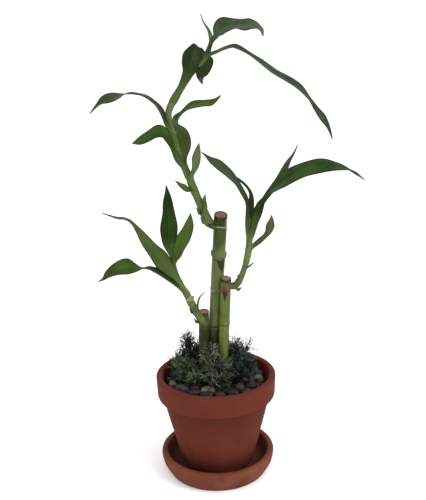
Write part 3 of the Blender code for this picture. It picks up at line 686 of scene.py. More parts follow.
def green_skin(name, fresh, deep, vein, gloss, clasp=CLASP_GREEN, dry=DRY_TIP, edge=0.7):
    """Skin that follows a blade or a stem: long veins, cloudy colour, pale clasping base, dark edge."""
    material, shader, paint = new_finish(name, 0.4)
    shader.inputs["Specular IOR Level"].default_value = 0.08
    surface = paint.node("UVMap")
    across = paint.node("SeparateXYZ", {}, {0: surface}, output=0)
    along = paint.node("SeparateXYZ", {}, {0: surface}, output=1)
    place = paint.node("TexCoord", output=3)
    sheath = paint.node("Attribute", {"attribute_name": "clasping"}, output=2)
    dried = paint.node("Attribute", {"attribute_name": "dryness"}, output=2)
    veins = paint.noise(paint.stretch(surface, (34.0, 1.6, 0.0)), 1.0, 3)
    broad = paint.noise(paint.stretch(surface, (5.0, 1.3, 0.0)), 1.0, 2)
    cloud = paint.noise(place, 55, 3)
    colour = (cloud * 0.55 + broad * 0.45).step(0.40, 0.57).mix(deep, fresh)
    colour = (veins.step(0.50, 0.72) * 0.35).mix(colour, vein)
    colour = (veins.step(0.48, 0.28) * 0.35).mix(colour, deep)
    middle = (across - 0.5).size()
    colour = (middle.step(0.030, 0.006) * 0.45).mix(colour, vein)
    colour = (sheath * (0.60 + broad * 0.5)).mix(colour, clasp)
    colour = (sheath * veins.step(0.52, 0.66) * 0.40).mix(colour, deep)
    dusk = tuple(0.4 * part for part in deep)
    colour = (middle.step(0.415, 0.475) * edge).mix(colour, dusk)
    withered = dried + (cloud - 0.5) * 0.5 * dried.step(0.0, 0.3)
    colour = withered.step(0.25, 0.75).mix(colour, dry)
    colour = (along.step(0.992, 1.0) * 0.5).mix(colour, dry)
    paint.plug(shader.inputs["Base Color"], colour)
    paint.plug(shader.inputs["Roughness"], gloss + cloud * 0.14 + dried * 0.3)
    grain(paint, shader, veins * 0.7 + middle.step(0.0, 0.04) * 0.6, 0.28, 0.0003)
    return material


shoot_skin = green_skin(
    "shoot_skin", linear(88, 99, 56), linear(60, 74, 36), linear(108, 117, 80), 0.40, edge=0.0)
for name, rows in SHOOTS.items():
    if name == "tendril":
        continue
    dress(stem("stem_of_" + name, rows, rounded=0.3), shoot_skin, "shoot_green", name)

# ---- Tendril
# A dried leaf stalk, brown and hard, that curls up beside the short cane. It grew like a shoot and has
# shrunk to the thickness of wire.

tendril_finish, tendril_shader, paint = new_finish("dried_stalk", 0.75)
place = paint.node("TexCoord", output=3)
stalk_colour = paint.noise(place, 500, 3).step(0.35, 0.65).mix(linear(60, 54, 42), linear(104, 94, 76))
paint.plug(tendril_shader.inputs["Base Color"], stalk_colour)
dress(stem("dried_tendril", SHOOTS["tendril"], sides=10), tendril_finish, "dry_brown", "tendril")

# ---- Leaves
# Long dracaena leaves. Each one clasps the shoot with a pale sheath that opens into a lance-shaped
# blade, folded a little along its midrib, veined lengthwise and glossier above than below.

BLADE_THICKNESS = 0.0005
# Facets of a blade: how many across it, their length in mm, and how many more for its sheath
BLADE_ACROSS, BLADE_STEP, BLADE_MORE = 10, 1.1, 6
# How far round its shoot a sheath reaches to each side, closed and where it has opened, in radians
CLASPING, OPENED_OUT = 2.5, 1.3
# Over how many mm a sheath opens and over how many it closes at its heel
OPENING, HEEL = 16, 2.5
# How far in mm a heel lies under the shoot's skin and how far the sheath rises from there
HEEL_UNDER, SHEATH_RISE = 0.35, 0.55
# Share of a blade over which its base opens and turns from pale to green, and the least and most mm that
# the greening takes
BASE_SHARE, GREENING_LEAST, GREENING_MOST = 0.35, 8, 34
# How softly a blade folds at its midrib, and the height and number of the waves along its edges
FOLD_SOFTNESS, EDGE_WAVE, EDGE_WAVES = 0.02, 0.035, 17
# Share of its length over which a blade turns dry, and a start past the tip for one that stays green
DRYING, STAYS_GREEN = 0.06, 1.2

# Every leaf: shoot, look, fold along the midrib, length of its closed sheath in mm, and its mid-line in mm
# from where it starts to open: x, y, z, turn of the upper face in degrees (0 faces the front) and width
LEAVES = {
    "leaf_tall_1": ("shoot_tall", "fresh", 0.10, 3, [
        (-4.5, 5.5, 239, 15, 3.6), (-5.5, 5, 246, 15, 3.8), (-6, 4.5, 251, 20, 3.2),
        (-5, 4, 256, 20, 0.5)]),
    "leaf_tall_2": ("shoot_tall", "fresh", 0.12, 4, [
        (-16.5, 4.5, 256.5, -60, 6), (-21, 2, 261, -60, 6.8), (-25, 0, 264, -60, 6),
        (-30, -2, 269, -60, 0.5)]),
    "leaf_tall_3": ("shoot_tall", "pale", 0.12, 10, [
        (-14.5, 4, 267, 140, 6), (-13.2, 3, 276, 140, 6.4), (-12, 2, 283, 150, 7.6),
        (-11.2, 0, 289, 150, 8), (-10.2, -1, 294.5, 150, 5), (-9, -3, 300, 150, 0.5)]),
    "leaf_tall_4": ("shoot_tall", "middle", 0.10, 5, [
        (-19, 4.5, 273, -60, 7), (-23.8, 2.5, 280.8, -60, 7.6), (-28.4, 1, 288, -62, 8.6),
        (-31.6, -0.5, 295.4, -70, 10), (-34.2, -2.5, 303.4, -74, 15.6), (-39, -5, 309.6, -78, 17),
        (-45.5, -8, 309, -84, 13.4), (-52.5, -11, 305.8, -80, 10.6), (-58, -14.5, 303.3, -78, 7),
        (-63, -17.5, 302.7, -78, 0.5)]),
    "leaf_tall_5": ("shoot_tall", "yellowing", 0.10, 6, [
        (-18.4, 9.5, 278, 55, 5.6), (-19.8, 12, 286.5, 52, 9), (-20.4, 15.5, 296.5, 42, 14.8),
        (-21.6, 17.5, 304.5, 48, 15.4), (-25.6, 17.5, 312, 65, 16), (-28, 15.5, 317.4, 82, 13.6),
        (-24, 12, 323.2, 102, 7.4), (-15, 7, 330, 110, 10.5), (-4, 1.5, 332, 112, 9),
        (3.6, -2, 333, 100, 7.4), (10.2, -6, 338.5, 95, 0.5)]),
    "leaf_tall_6": ("shoot_tall", "deep", 0.12, 5, [
        (-30, 8, 303, -45, 5), (-35.4, 9, 313.4, -52, 5.2), (-38.2, 11, 321.5, -68, 7.8),
        (-43.4, 14, 330, -73, 11.2), (-53.5, 19.5, 338, -66, 11.5), (-62.5, 24, 340.3, -64, 10),
        (-70.5, 27, 340.6, -63, 9), (-80, 30.5, 338.5, -90, 11.6), (-90, 35, 335.6, -108, 9.4),
        (-97, 38, 331.5, -80, 5.4), (-105.5, 41, 323.6, -78, 0.5)]),
    "leaf_tall_7": ("shoot_tall", "dark", 0.10, 8, [
        (-29, 9.8, 340.4, -22, 5.4), (-24.2, 9, 346, -22, 6), (-19.8, 8.6, 351.4, -26, 7),
        (-16.4, 8.2, 357.4, -30, 11), (-14.4, 8.4, 363, -28, 17.4), (-12.6, 9.6, 368.2, -24, 19),
        (-10.4, 12.5, 374, -16, 12.4), (-7.8, 16.6, 377.8, 0, 8), (-4.8, 20.8, 373.8, 20, 6.2),
        (-2.4, 24.4, 369.8, 32, 10.4), (-1.4, 27, 366.4, 42, 13), (-2.6, 27.5, 361.4, 44, 11.8),
        (-5.6, 27, 356, 38, 10.4), (-6.4, 25.5, 352, 30, 5.4), (-5, 24, 347, 0, 0.8)]),
    "leaf_tall_8": ("shoot_tall", "deep", 0.10, 10, [
        (-3.8, 8.6, 363.8, 60, 4.2), (-0.4, 7.4, 367.4, 66, 5.6), (4, 6, 370.6, 75, 7.6),
        (10.5, 4, 373.8, 80, 10), (18.8, 1, 376.2, 84, 11), (24, -1, 375.6, 90, 9.5),
        (33.7, -5, 370.2, 98, 7), (43, -8, 363.8, 94, 9.5), (53.5, -11, 355.5, 90, 11.6),
        (64, -14.5, 349, 90, 12.4), (72.4, -17, 343, 95, 11.6), (80.3, -20, 334, 100, 7),
        (85, -22, 327, 75, 5.6), (90, -24, 320, 52, 6), (94.5, -26, 312, 65, 3.4),
        (97.5, -28, 303, 65, 0.5)]),
    "leaf_tall_9": ("shoot_tall", "sheen", 0.10, 4, [
        (-1.6, 9.5, 373.2, 20, 4), (2, 9, 378.2, 22, 4.2), (4.8, 8.5, 382.2, 38, 4.8),
        (7.2, 8, 385.2, 48, 7), (8.8, 7, 388.8, 50, 14), (12, 5.5, 391.8, 54, 17.6),
        (17.8, 3.2, 393, 66, 15.6), (25.5, 0, 393.4, 74, 14), (32, -3.4, 392.4, 66, 13.4),
        (37.2, -5.8, 392, 72, 9.4), (40.9, -7.2, 390.5, 82, 6), (43.4, -8.2, 387.8, 88, 4.6),
        (44.2, -8.6, 383.6, 88, 0.8)]),
    "leaf_tall_10": ("shoot_tall", "pale", 0.16, 3, [
        (2.4, 11, 380, 20, 3.8), (2.6, 11.5, 386, 20, 3.5), (1, 11.5, 391, 36, 2.2),
        (-2.6, 11, 396.5, 45, 1.1), (-4.8, 10, 402.8, 45, 0.4)]),
    "leaf_mid_1": ("shoot_mid", "pale", 0.14, 8, [
        (31.4, 0, 199.5, 45, 5), (34, -0.5, 206.6, 52, 5.2), (37.8, -1.5, 211.8, 70, 6.6),
        (43.3, -3.3, 217, 80, 9), (47.6, -5, 222.3, 70, 10), (50, -6.3, 229.2, 45, 8.8),
        (50.7, -7.2, 234, 36, 5), (50.5, -8, 238.6, 36, 0.5)]),
    "leaf_mid_2": ("shoot_mid", "dusky", 0.14, 12, [
        (29.4, -1.5, 211, -45, 4.6), (29.8, -2, 222, -52, 5), (29.8, -2, 232, -60, 6.2),
        (30.2, -2.5, 242, -66, 9), (29.4, -3, 250, -72, 11.2), (26, -4.2, 258, -74, 12.6),
        (20.7, -6.8, 267.6, -77, 11.4), (14.6, -10, 275, -64, 10.6), (6.4, -13, 283, -48, 9.4),
        (0.2, -15, 287.4, -54, 5.8), (-3.8, -17, 291.4, -65, 2.6), (-7, -19, 294.5, -65, 0.5)]),
    "leaf_mid_3": ("shoot_mid", "deep", 0.16, 8, [
        (33.4, 2, 222, 62, 5), (34.4, 3, 232, 62, 6.4), (35, 3, 240, 62, 7.4), (35, 2.5, 249, 64, 8),
        (33.8, 2, 256.8, 64, 6), (29.6, 3.5, 263.2, 62, 4.6), (24, 5, 267.8, 60, 3),
        (19, 5, 271.5, 60, 0.5)]),
    "leaf_mid_4": ("shoot_mid", "broad", 0.10, 12, [
        (32.4, -1.2, 207, 55, 4.8), (33.6, -1.5, 216, 55, 5), (35.2, -1.8, 224.4, 46, 6.2),
        (36.8, -2.2, 232, 32, 7), (39, -2.8, 239.6, 26, 8.4), (42, -3.6, 247.2, 34, 7.2),
        (47, -6, 255.8, 72, 4), (53.6, -9, 262.6, 84, 15.6), (61, -11.5, 268.6, 77, 19),
        (68.6, -14, 273.6, 69, 18), (78.6, -18, 278, 65, 16), (89.8, -22, 280.8, 60, 13.8),
        (100.7, -25, 280.5, 78, 10), (107, -26.6, 279.5, 90, 7.4), (111.8, -28, 278, 105, 4.6),
        (116.5, -30, 275.4, 88, 3.6), (123.3, -32, 270.3, 84, 0.5)]),
    "leaf_mid_5": ("shoot_mid", "grey", 0.16, 4, [
        (36, 5, 229.6, 50, 3.8), (40, 6, 239.6, 46, 4.2), (46, 5.5, 249.6, 58, 6.8),
        (53.4, 5, 259.8, 60, 8), (59.4, 5, 268, 60, 9), (63.6, 6, 275.4, 57, 7.4),
        (66.8, 7, 281.8, 60, 5), (70.6, 8, 287.4, 58, 2.6), (74.5, 9, 295, 56, 0.5)]),
    "leaf_short_1": ("shoot_short", "middle", 0.12, 3, [
        (-21.5, -3.5, 161.5, -80, 6), (-27, -4.5, 171.4, -80, 6.8), (-34.4, -7.5, 181, -80, 8.8),
        (-43, -11, 189.5, -84, 10.8), (-52.8, -14.5, 195.4, -92, 9), (-58.7, -17, 197.2, -112, 7),
        (-65, -20, 199.2, -84, 11.8), (-72.4, -24, 201.2, -52, 14), (-80.2, -28, 200.2, -55, 11),
        (-87, -31.5, 197, -65, 6.8), (-90.5, -33.5, 194, -70, 3), (-94.8, -36, 192.2, -70, 0.5)]),
    "leaf_short_2": ("shoot_short", "grey", 0.10, 3, [
        (-22.6, -2.8, 168, -58, 5.5), (-28, -3, 176.6, -62, 6), (-32.8, -4, 184.8, -60, 8.6),
        (-38.7, -5.5, 193.2, -56, 14.4), (-45.5, -8, 202.4, -52, 18.8), (-51.6, -11, 212, -54, 14.6),
        (-57.8, -13.5, 221.8, -60, 11.8), (-62.8, -16, 230.4, -72, 8.6), (-67.4, -18.5, 237.8, -82, 6),
        (-72.6, -20.4, 241.4, -87, 4.4), (-78.6, -22, 242.6, -80, 3), (-89.7, -25, 247.5, -84, 0.6)]),
    "leaf_short_3": ("shoot_short", "gloss", 0.12, 4, [
        (-35, 5, 197, -62, 3.4), (-37.8, 8, 205, -52, 10), (-38.4, 10.5, 213.5, -45, 16.4),
        (-38.4, 13.5, 224.5, -44, 18), (-38.2, 17, 236.6, -42, 13.6), (-38.6, 19.5, 247.5, -42, 9.6),
        (-38.8, 21, 255, -45, 5), (-39.4, 22, 261.5, -47, 0.5)]),
    "leaf_short_4": ("shoot_short", "fresh", 0.12, 4, [
        (-31.2, -1.5, 189.5, 40, 4.4), (-31.8, -2.4, 200, 42, 7.2), (-29.1, -3.4, 209.2, 44, 12),
        (-25.4, -4.6, 217.2, 52, 14.8), (-21.4, -6, 224.6, 50, 13.8), (-18.9, -7.2, 231.2, 42, 10.6),
        (-18.2, -8.2, 237.5, 36, 5), (-17.9, -9, 242.4, 36, 0.5)]),
}
# Where a leaf or a bract has withered: share of its length from which it dries
WITHERED = {
    "leaf_tall_9": 0.88, "leaf_tall_7": 0.90, "leaf_tall_10": 0.45, "leaf_mid_4": 0.92,
    "leaf_mid_5": 0.74, "leaf_short_2": 0.78, "bract_short_torn": 0.20,
}

# Upper side, then under side: fresh, deep and vein colours and how rough the gloss is, then, where they are
# not the usual ones, the colours of the clasping base and of a dried tip
PAPERY = (linear(96, 94, 52), linear(76, 78, 38), linear(122, 116, 78), 0.70,
          linear(94, 102, 50), linear(132, 122, 90))
LEAF_LOOKS = {
    "deep": ((linear(42, 62, 26), linear(27, 44, 15), linear(60, 78, 42), 0.34, linear(76, 90, 50)),
             (linear(56, 72, 42), linear(42, 56, 30), linear(74, 88, 58), 0.45, linear(76, 90, 50))),
    # The broad look's clasping colours are painted light: set lighter against the shade between the mid
    # shoot's leaves.
    "broad": ((linear(46, 68, 26), linear(31, 50, 16), linear(62, 82, 42), 0.34, linear(104, 122, 62)),
              (linear(56, 72, 42), linear(42, 56, 30), linear(74, 88, 58), 0.45, linear(96, 112, 60))),
    "dark": ((linear(32, 48, 16), linear(19, 34, 8), linear(48, 64, 30), 0.32, linear(78, 93, 46)),
             (linear(46, 62, 26), linear(32, 48, 16), linear(64, 80, 42), 0.42, linear(82, 96, 50))),
    # The grey-green of this look's upper face is a painted sheen, the bright room reflected in the leaf.
    "sheen": ((linear(64, 77, 56), linear(38, 54, 28), linear(86, 96, 78), 0.34, linear(36, 52, 18)),
              (linear(54, 70, 40), linear(38, 52, 28), linear(74, 88, 58), 0.45, linear(42, 58, 22))),
    "dusky": ((linear(50, 62, 38), linear(38, 50, 28), linear(68, 80, 52), 0.36, linear(86, 98, 64)),
              (linear(54, 66, 42), linear(42, 54, 32), linear(70, 82, 56), 0.45, linear(86, 98, 64))),
    "middle": ((linear(50, 70, 20), linear(36, 54, 15), linear(70, 88, 38), 0.36),
               (linear(58, 68, 40), linear(46, 56, 32), linear(76, 86, 58), 0.46)),
    "yellowing": ((linear(64, 82, 22), linear(46, 62, 18), linear(84, 98, 40), 0.36),
                  (linear(66, 76, 44), linear(54, 62, 40), linear(82, 92, 60), 0.46)),
    "gloss": ((linear(34, 58, 10), linear(17, 34, 6), linear(54, 78, 22), 0.30),
              (linear(46, 62, 28), linear(34, 48, 20), linear(68, 82, 44), 0.42)),
    "fresh": ((linear(70, 91, 32), linear(54, 74, 24), linear(92, 110, 52), 0.38),
              (linear(78, 92, 40), linear(62, 76, 30), linear(98, 110, 60), 0.46)),
    "pale": ((linear(87, 98, 60), linear(70, 82, 46), linear(108, 118, 82), 0.42),
             (linear(85, 96, 56), linear(68, 80, 43), linear(106, 116, 78), 0.46)),
    "grey": ((linear(63, 80, 36), linear(50, 66, 29), linear(82, 98, 54), 0.40, linear(98, 113, 58)),
             (linear(64, 76, 44), linear(50, 62, 34), linear(82, 94, 60), 0.46)),
    "dry": ((linear(88, 74, 54), linear(48, 40, 28), linear(120, 104, 78), 0.70),
            (linear(74, 62, 46), linear(42, 34, 24), linear(104, 90, 68), 0.70)),
    "papery": (PAPERY, PAPERY),
}
LEAF_SKINS = {}
for look, (upper, under) in LEAF_LOOKS.items():
    LEAF_SKINS[look] = (green_skin(look + "_leaf_upper", *upper), green_skin(look + "_leaf_under", *under))


def ease(value, low, high):
    """0 up to low and 1 from high on, with a soft step between."""
    share = min(max((value - low) / (high - low), 0.0), 1.0)
    return share * share * (3 - 2 * share)


def leaf(name, shoot_name, look, fold, sheath_length, rows):
    """A blade that grows out of a sheath clasping its shoot, as one thin folded skin."""
    run = Run(rows)
    shoot = Run(SHOOTS[shoot_name])
    blade_length = run.reach[-1]
    sheath = sheath_length * MM
    total = sheath + blade_length
    heel_reach = shoot.nearest(run.centre[0])
    opening = min(OPENING * MM, blade_length * BASE_SHARE)
    greening = min(max(blade_length * BASE_SHARE, GREENING_LEAST * MM), GREENING_MOST * MM)
    phase = random.Random(name).uniform(0, math.tau)
    base_out = run.centre[0] - shoot.at(heel_reach)[0]

    def sides(way, side, turn):
        right = side * math.cos(math.radians(turn)) + side.cross(way) * math.sin(math.radians(turn))
        return right, right.cross(way)

    def away(way):
        return (base_out - way * base_out.dot(way)).normalized()

    heel_way = shoot.at(heel_reach)[1]
    first_right = sides(run.along[0], run.side[0], rows[0][3])[0]
    handed = 1 if away(heel_way).cross(heel_way).dot(first_right) > 0 else -1

    def clasping_place(reach, across):
        centre, way, _, (thickness,) = shoot.at(heel_reach + reach)
        hug = ease(reach, -sheath, -sheath + HEEL * MM)
        radius = thickness * MM / 2 + (SHEATH_RISE * hug - HEEL_UNDER) * MM
        spread = CLASPING + (OPENED_OUT - CLASPING) * ease(reach, -sheath * 0.6, opening)
        angle = handed * across * spread
        return centre + (away(way) * math.cos(angle) + away(way).cross(way) * math.sin(angle)) * radius

    def blade_place(reach, across):
        centre, way, side, (turn, width) = run.at(reach)
        right, face = sides(way, side, turn)
        rise = fold * (math.sqrt(across * across + FOLD_SOFTNESS) - 0.5)
        wave = EDGE_WAVE * math.sin(reach / blade_length * EDGE_WAVES + phase + across) * across * across
        return centre + right * (across * width * MM / 2) + face * ((rise + wave) * width * MM)

    reaches = []

    def place(u, v):
        reach = v * total - sheath
        reaches.append(reach)
        across = 2 * u - 1
        opened = ease(reach, -1 * MM, opening)
        if opened <= 0:
            return clasping_place(reach, across)
        return clasping_place(reach, across).lerp(blade_place(reach, across), opened)

    facets_along = int(total / MM / BLADE_STEP) + BLADE_MORE
    blade = lay_grid("blade_of_" + name, BLADE_ACROSS, facets_along, place)
    clasping = blade.data.attributes.new("clasping", "FLOAT", "POINT")
    dryness = blade.data.attributes.new("dryness", "FLOAT", "POINT")
    dry_from = WITHERED.get(name, STAYS_GREEN)
    for corner, reach in enumerate(reaches):
        clasping.data[corner].value = 1 - ease(reach, -2 * MM, greening)
        dryness.data[corner].value = ease(reach / blade_length, dry_from, dry_from + DRYING)
    bpy.ops.object.shade_smooth()
    for skin in LEAF_SKINS[look]:
        blade.data.materials.append(skin)
    wall = blade.modifiers.new("thickness", "SOLIDIFY")
    wall.thickness = BLADE_THICKNESS
    wall.offset = 0
    wall.material_offset = 1
    bpy.ops.object.modifier_apply(modifier=wall.name)
    return blade


for name, (shoot_name, look, fold, sheath_length, rows) in LEAVES.items():
    blade = leaf(name, shoot_name, look, fold, sheath_length, rows)
    stand_for(blade, "leaf_light" if look in ("fresh", "pale", "grey") else "leaf_dark", name)

# ---- Bracts
# Small scales and torn sheaths that stay on the shoots below the leaves. They are thin as paper, grow like
# the leaves, and dry out first.

BRACTS = {
    "bract_tall_upper": ("shoot_tall", "pale", 0.1, 3, [
        (-10.2, 7, 236, -60, 4.6), (-11.5, 6.5, 240, -60, 3.2), (-13.1, 6, 244.2, -60, 0.4)]),
    "bract_tall_heel": ("shoot_tall", "pale", 0.1, 4, [
        (-5, 8.5, 228.5, -50, 7), (-7.6, 8, 231.5, -50, 5), (-9.8, 8, 235, -50, 0.4)]),
    "bract_tall_bud": ("shoot_tall", "dry", 0.1, 2, [
        (2.6, 8.5, 224.6, 40, 6), (0, 8, 226.5, 40, 5.4), (-3.6, 8, 228.4, 40, 0.6)]),
    "bract_mid_spur": ("shoot_mid", "dry", 0.1, 2, [
        (31, 0, 189.5, 40, 2.4), (32.6, 0, 192.8, 40, 1.6), (36.2, 0, 195.6, 40, 0.4)]),
    "bract_mid_left": ("shoot_mid", "middle", 0.1, 3, [
        (23.4, -0.5, 178, -40, 4.4), (22, -0.5, 181.5, -40, 3), (21.7, -0.5, 185, -40, 0.4)]),
    "bract_mid_heel": ("shoot_mid", "middle", 0.1, 2, [
        (19, 0, 170.4, 20, 4), (21.6, 0, 170.8, 20, 3), (24.8, 0, 172.8, 20, 0.4)]),
    "bract_short_torn": ("shoot_short", "papery", 0.2, 4, [
        (-20.2, -2.8, 160.6, 10, 7.2), (-20.4, -3.2, 163, 14, 7.6), (-19.4, -3.2, 165.2, 20, 4.6),
        (-17.6, -3, 167, 30, 0.8)]),
    "bract_short_upper": ("shoot_short", "middle", 0.1, 2, [
        (-18.6, -1.5, 149.5, -40, 3.6), (-20.2, -1.5, 152, -40, 2.4), (-21.8, -1.5, 155, -40, 0.4)]),
    "bract_short_heel": ("shoot_short", "middle", 0.1, 2, [
        (-14.6, -1.5, 140.6, -40, 4), (-16.4, -1.5, 142.6, -40, 2.6), (-17.9, -1.5, 145.6, -40, 0.4)]),
}
for name, (shoot_name, look, fold, sheath_length, rows) in BRACTS.items():
    blade = leaf(name, shoot_name, look, fold, sheath_length, rows)
    stand_for(blade, "dry_brown" if look in ("dry", "papery") else "leaf_light")

# ---- Moss
# Preserved reindeer moss, dyed blue-green and grey-green, tucked round the feet of the canes to hide the
# roots.
# Each clump is a springy tangle of forked strands over a nearly black heart, painted shade for its dense
# inside.

# How sprigs grow: joints where they fork, how stout they are for their length, and how far they stray
BUSHY = ((1, 2, 3), 0.030, 0.6)
STRINGY = ((2,), 0.040, 0.45)
# Each clump: look, how its sprigs grow, and its lumps in mm: centre, half sizes, number of sprigs, their
# length and how far they turn upwards
CLUMPS = {
    "moss_left_back": ("blue", BUSHY, [
        (-25, 20, 112, 5, 7, 11, 80, 8, 0.4), (-16, 22, 101, 10, 11, 13, 130, 9, 0.2),
        (-27, 19, 100, 8, 9, 11, 90, 8, 0.2), (-35, 18, 96, 7, 8, 7, 60, 7, 0.2)]),
    "moss_left": ("green", BUSHY, [
        (-32, 4, 96, 8, 9, 9, 150, 6, 0.1), (-26, -1, 95, 8, 8, 9, 120, 6.5, 0.1),
        (-28, -6, 91, 6, 5, 5, 60, 5, 0.0)]),
    "moss_front_small": ("bright", BUSHY, [
        (-19.5, -12, 92, 6, 5, 6, 130, 5, 0.0)]),
    "moss_front": ("straw", STRINGY, [
        (-1, -9, 98, 8, 8, 11, 170, 9.5, 0.3), (1, -17, 90.5, 8, 6, 5.5, 90, 9, 0.2),
        (-4.6, -8, 107, 3.4, 4, 13, 90, 12, 0.7), (3, -9, 99, 5, 4, 8, 60, 9.5, 0.5),
        (8.5, -4, 98, 4, 5, 8, 70, 7, 0.3), (8, -12, 91.5, 4.5, 5, 5, 50, 7, 0.1)]),
    "moss_right": ("blue", BUSHY, [
        (20, 8, 101, 9, 10, 14, 150, 9, 0.2), (18, 9, 112, 6, 8, 7, 60, 8, 0.3),
        (28, 5, 95, 8, 9, 9, 120, 7, 0.1), (22, -3, 91, 8, 6, 6, 70, 7, 0.0),
        (29, 10, 111, 3, 3, 4, 12, 10, 0.3)]),
    "moss_back": ("blue", BUSHY, [
        (4, 33, 97, 16, 12, 11, 190, 9, 0.1), (-10, 30, 98, 8, 9, 8, 80, 8, 0.1)]),
}
SPRIG_SHAPES = 8
# A sprig's stalk: its joints, the length of each and how far it bends there
STALK_JOINTS, JOINT_LENGTH, JOINT_BEND = 4, 0.25, 0.38
# How stout a fork and its tips are beside the stalk, and how far each turns aside
FORK_STOUT, TIP_STOUT = 0.84, 0.70
FORK_BEND, TIP_BEND = 1.1, 0.7
# How far down a lump its sprigs go (1 is half way, 2 all the way), and the turn from one to the next in
# half circles
SPRIGS_DOWN = 1.25
GOLDEN_TURN = 3 - math.sqrt(5)
SPRIG_SPIN = 6.28
# Height in metres of the stones that moss lies on, and the size of a heart beside its lump
BED_TOP = 0.0875
HEART_SHARE = 0.64


def sprig_shape(draw, forks, thick):
    """Corners and faces of one upright sprig, a millimetre long: a bent stalk that forks at these joints."""
    corners, faces = [], []

    def strand(joints, stout):
        first = len(corners)
        way = (joints[-1] - joints[0]).normalized()
        right = way.orthogonal().normalized()
        back = way.cross(right)
        for step, joint in enumerate(joints):
            size = stout * (1 - 0.4 * step / (len(joints) - 1))
            for k in range(3):
                angle = math.tau * k / 3
                corners.append(joint + (right * math.cos(angle) + back * math.sin(angle)) * size)
        last = len(corners) - 3
        for ring in range(first, last, 3):
            for k in range(3):
                n = (k + 1) % 3
                faces.append((ring + k, ring + n, ring + 3 + n, ring + 3 + k))
        faces.append((first + 2, first + 1, first))
        faces.append((last, last + 1, last + 2))

    def bend(way, amount):
        spin = draw.uniform(0, math.tau)
        right = way.orthogonal().normalized()
        aside = right * math.cos(spin) + way.cross(right) * math.sin(spin)
        return (way + aside * amount).normalized()

    way = Vector((0, 0, 1))
    joints = [Vector((0, 0, 0))]
    for _ in range(STALK_JOINTS):
        way = bend(way, JOINT_BEND)
        joints.append(joints[-1] + way * JOINT_LENGTH)
    strand(joints, thick)
    for k in forks:
        fork = bend((joints[k + 1] - joints[k]).normalized(), FORK_BEND)
        elbow = joints[k] + fork * draw.uniform(0.18, 0.28)
        strand([joints[k], elbow], thick * FORK_STOUT)
        for _ in range(2):
            strand([elbow, elbow + bend(fork, TIP_BEND) * draw.uniform(0.10, 0.20)], thick * TIP_STOUT)
    return corners, faces


def grow_moss(name, forks, thick, spread, lumps):
    """Sprigs all over the lumps of a clump, bent every way; their tone, darkened by painted shade, runs from
    the heart to the tips.
    """
    draw = random.Random(name)
    shapes = [sprig_shape(draw, forks, thick) for _ in range(SPRIG_SHAPES)]
    corners, faces, tones = [], [], []
    for x, y, z, wide, deep, high, count, length, rise in lumps:
        for k in range(count):
            level = 1 - SPRIGS_DOWN * (k + 0.5) / count
            angle = k * math.pi * GOLDEN_TURN
            flat = math.sqrt(max(0.0, 1 - level * level))
            way = Vector((flat * math.cos(angle), flat * math.sin(angle), level))
            depth = draw.uniform(0.45, 0.95)
            root = Vector((x + way.x * wide * depth, y + way.y * deep * depth, z + way.z * high * depth)) * MM
            out = Vector((way.x / wide, way.y / deep, way.z / high)).normalized()
            stray = Vector(draw.uniform(-spread, spread) for _ in range(3))
            out = out * (1 - rise) + Vector((0, 0, rise)) + stray
            spin = Matrix.Rotation(draw.uniform(0, SPRIG_SPIN), 3, "Z")
            turn = Vector((0, 0, 1)).rotation_difference(out).to_matrix() @ spin
            size = length * MM * draw.uniform(0.65, 1.15)
            own_tone = draw.uniform(0.2, 1.0) ** 1.6
            shape_corners, shape_faces = shapes[k % SPRIG_SHAPES]
            first = len(corners)
            for corner in shape_corners:
                spot = root + turn @ (corner * size)
                spot.z = max(spot.z, BED_TOP)
                corners.append(spot)
                # the tone: a random dye tone, darkened as painted shade deeper in the clump and lower on each
                # sprig
                tones.append(min(1.0, own_tone * (0.35 + 0.65 * depth) * (0.45 + 0.6 * corner.z)))
            faces.extend([tuple(first + n for n in face) for face in shape_faces])
    mesh = bpy.data.meshes.new(name)
    mesh.from_pydata(corners, [], faces)
    tone = mesh.attributes.new("tone", "FLOAT", "POINT")
    tone.data.foreach_set("value", tones)
    moss = bpy.data.objects.new("sprigs_of_" + name, mesh)
    bpy.context.collection.objects.link(moss)
    return moss


def moss_heart_shade(name, lumps):
    """The heart of a clump, nearly black as painted shade for its dense inside: a ball for every lump, pushed
    out of round.
    """
    balls = []
    for x, y, z, wide, deep, high, *_ in lumps:
        bpy.ops.object.select_all(action="DESELECT")
        bpy.ops.mesh.primitive_ico_sphere_add(subdivisions=4, radius=1, location=(0, 0, 0))
        ball = start_piece("heart_of_" + name)
        sizes = [half * HEART_SHARE * MM for half in (wide, deep, high)]
        bpy.ops.transform.resize(value=sizes, center_override=(0, 0, 0))
        bpy.ops.transform.translate(value=(x * MM, y * MM, z * MM))
        bpy.ops.object.mode_set(mode="OBJECT")
        middle = Vector((x, y, z)) * MM
        for corner in ball.data.vertices:
            lump = noise.noise(corner.co * 330) * 0.30 + noise.noise(corner.co * 900) * 0.14
            corner.co = middle + (corner.co - middle) * (1 + lump)
            corner.co.z = max(corner.co.z, BED_TOP)
        balls.append(ball)
    return join_smooth(balls)


def moss_finish(name, dark, light):
    """Dull moss, from dark at its heart to light at its tips by painted shade, dyed a little unevenly."""
    material, shader, paint = new_finish(name, 0.95)
    place = paint.node("TexCoord", output=3)
    tone = paint.node("Attribute", {"attribute_name": "tone"}, output=2)
    patch = paint.noise(place, 160, 3)
    colour = (tone + (patch - 0.5) * 0.4).step(0.0, 0.8).mix(dark, light)
    paint.plug(shader.inputs["Base Color"], colour)
    shader.inputs["Specular IOR Level"].default_value = 0.1
    return material


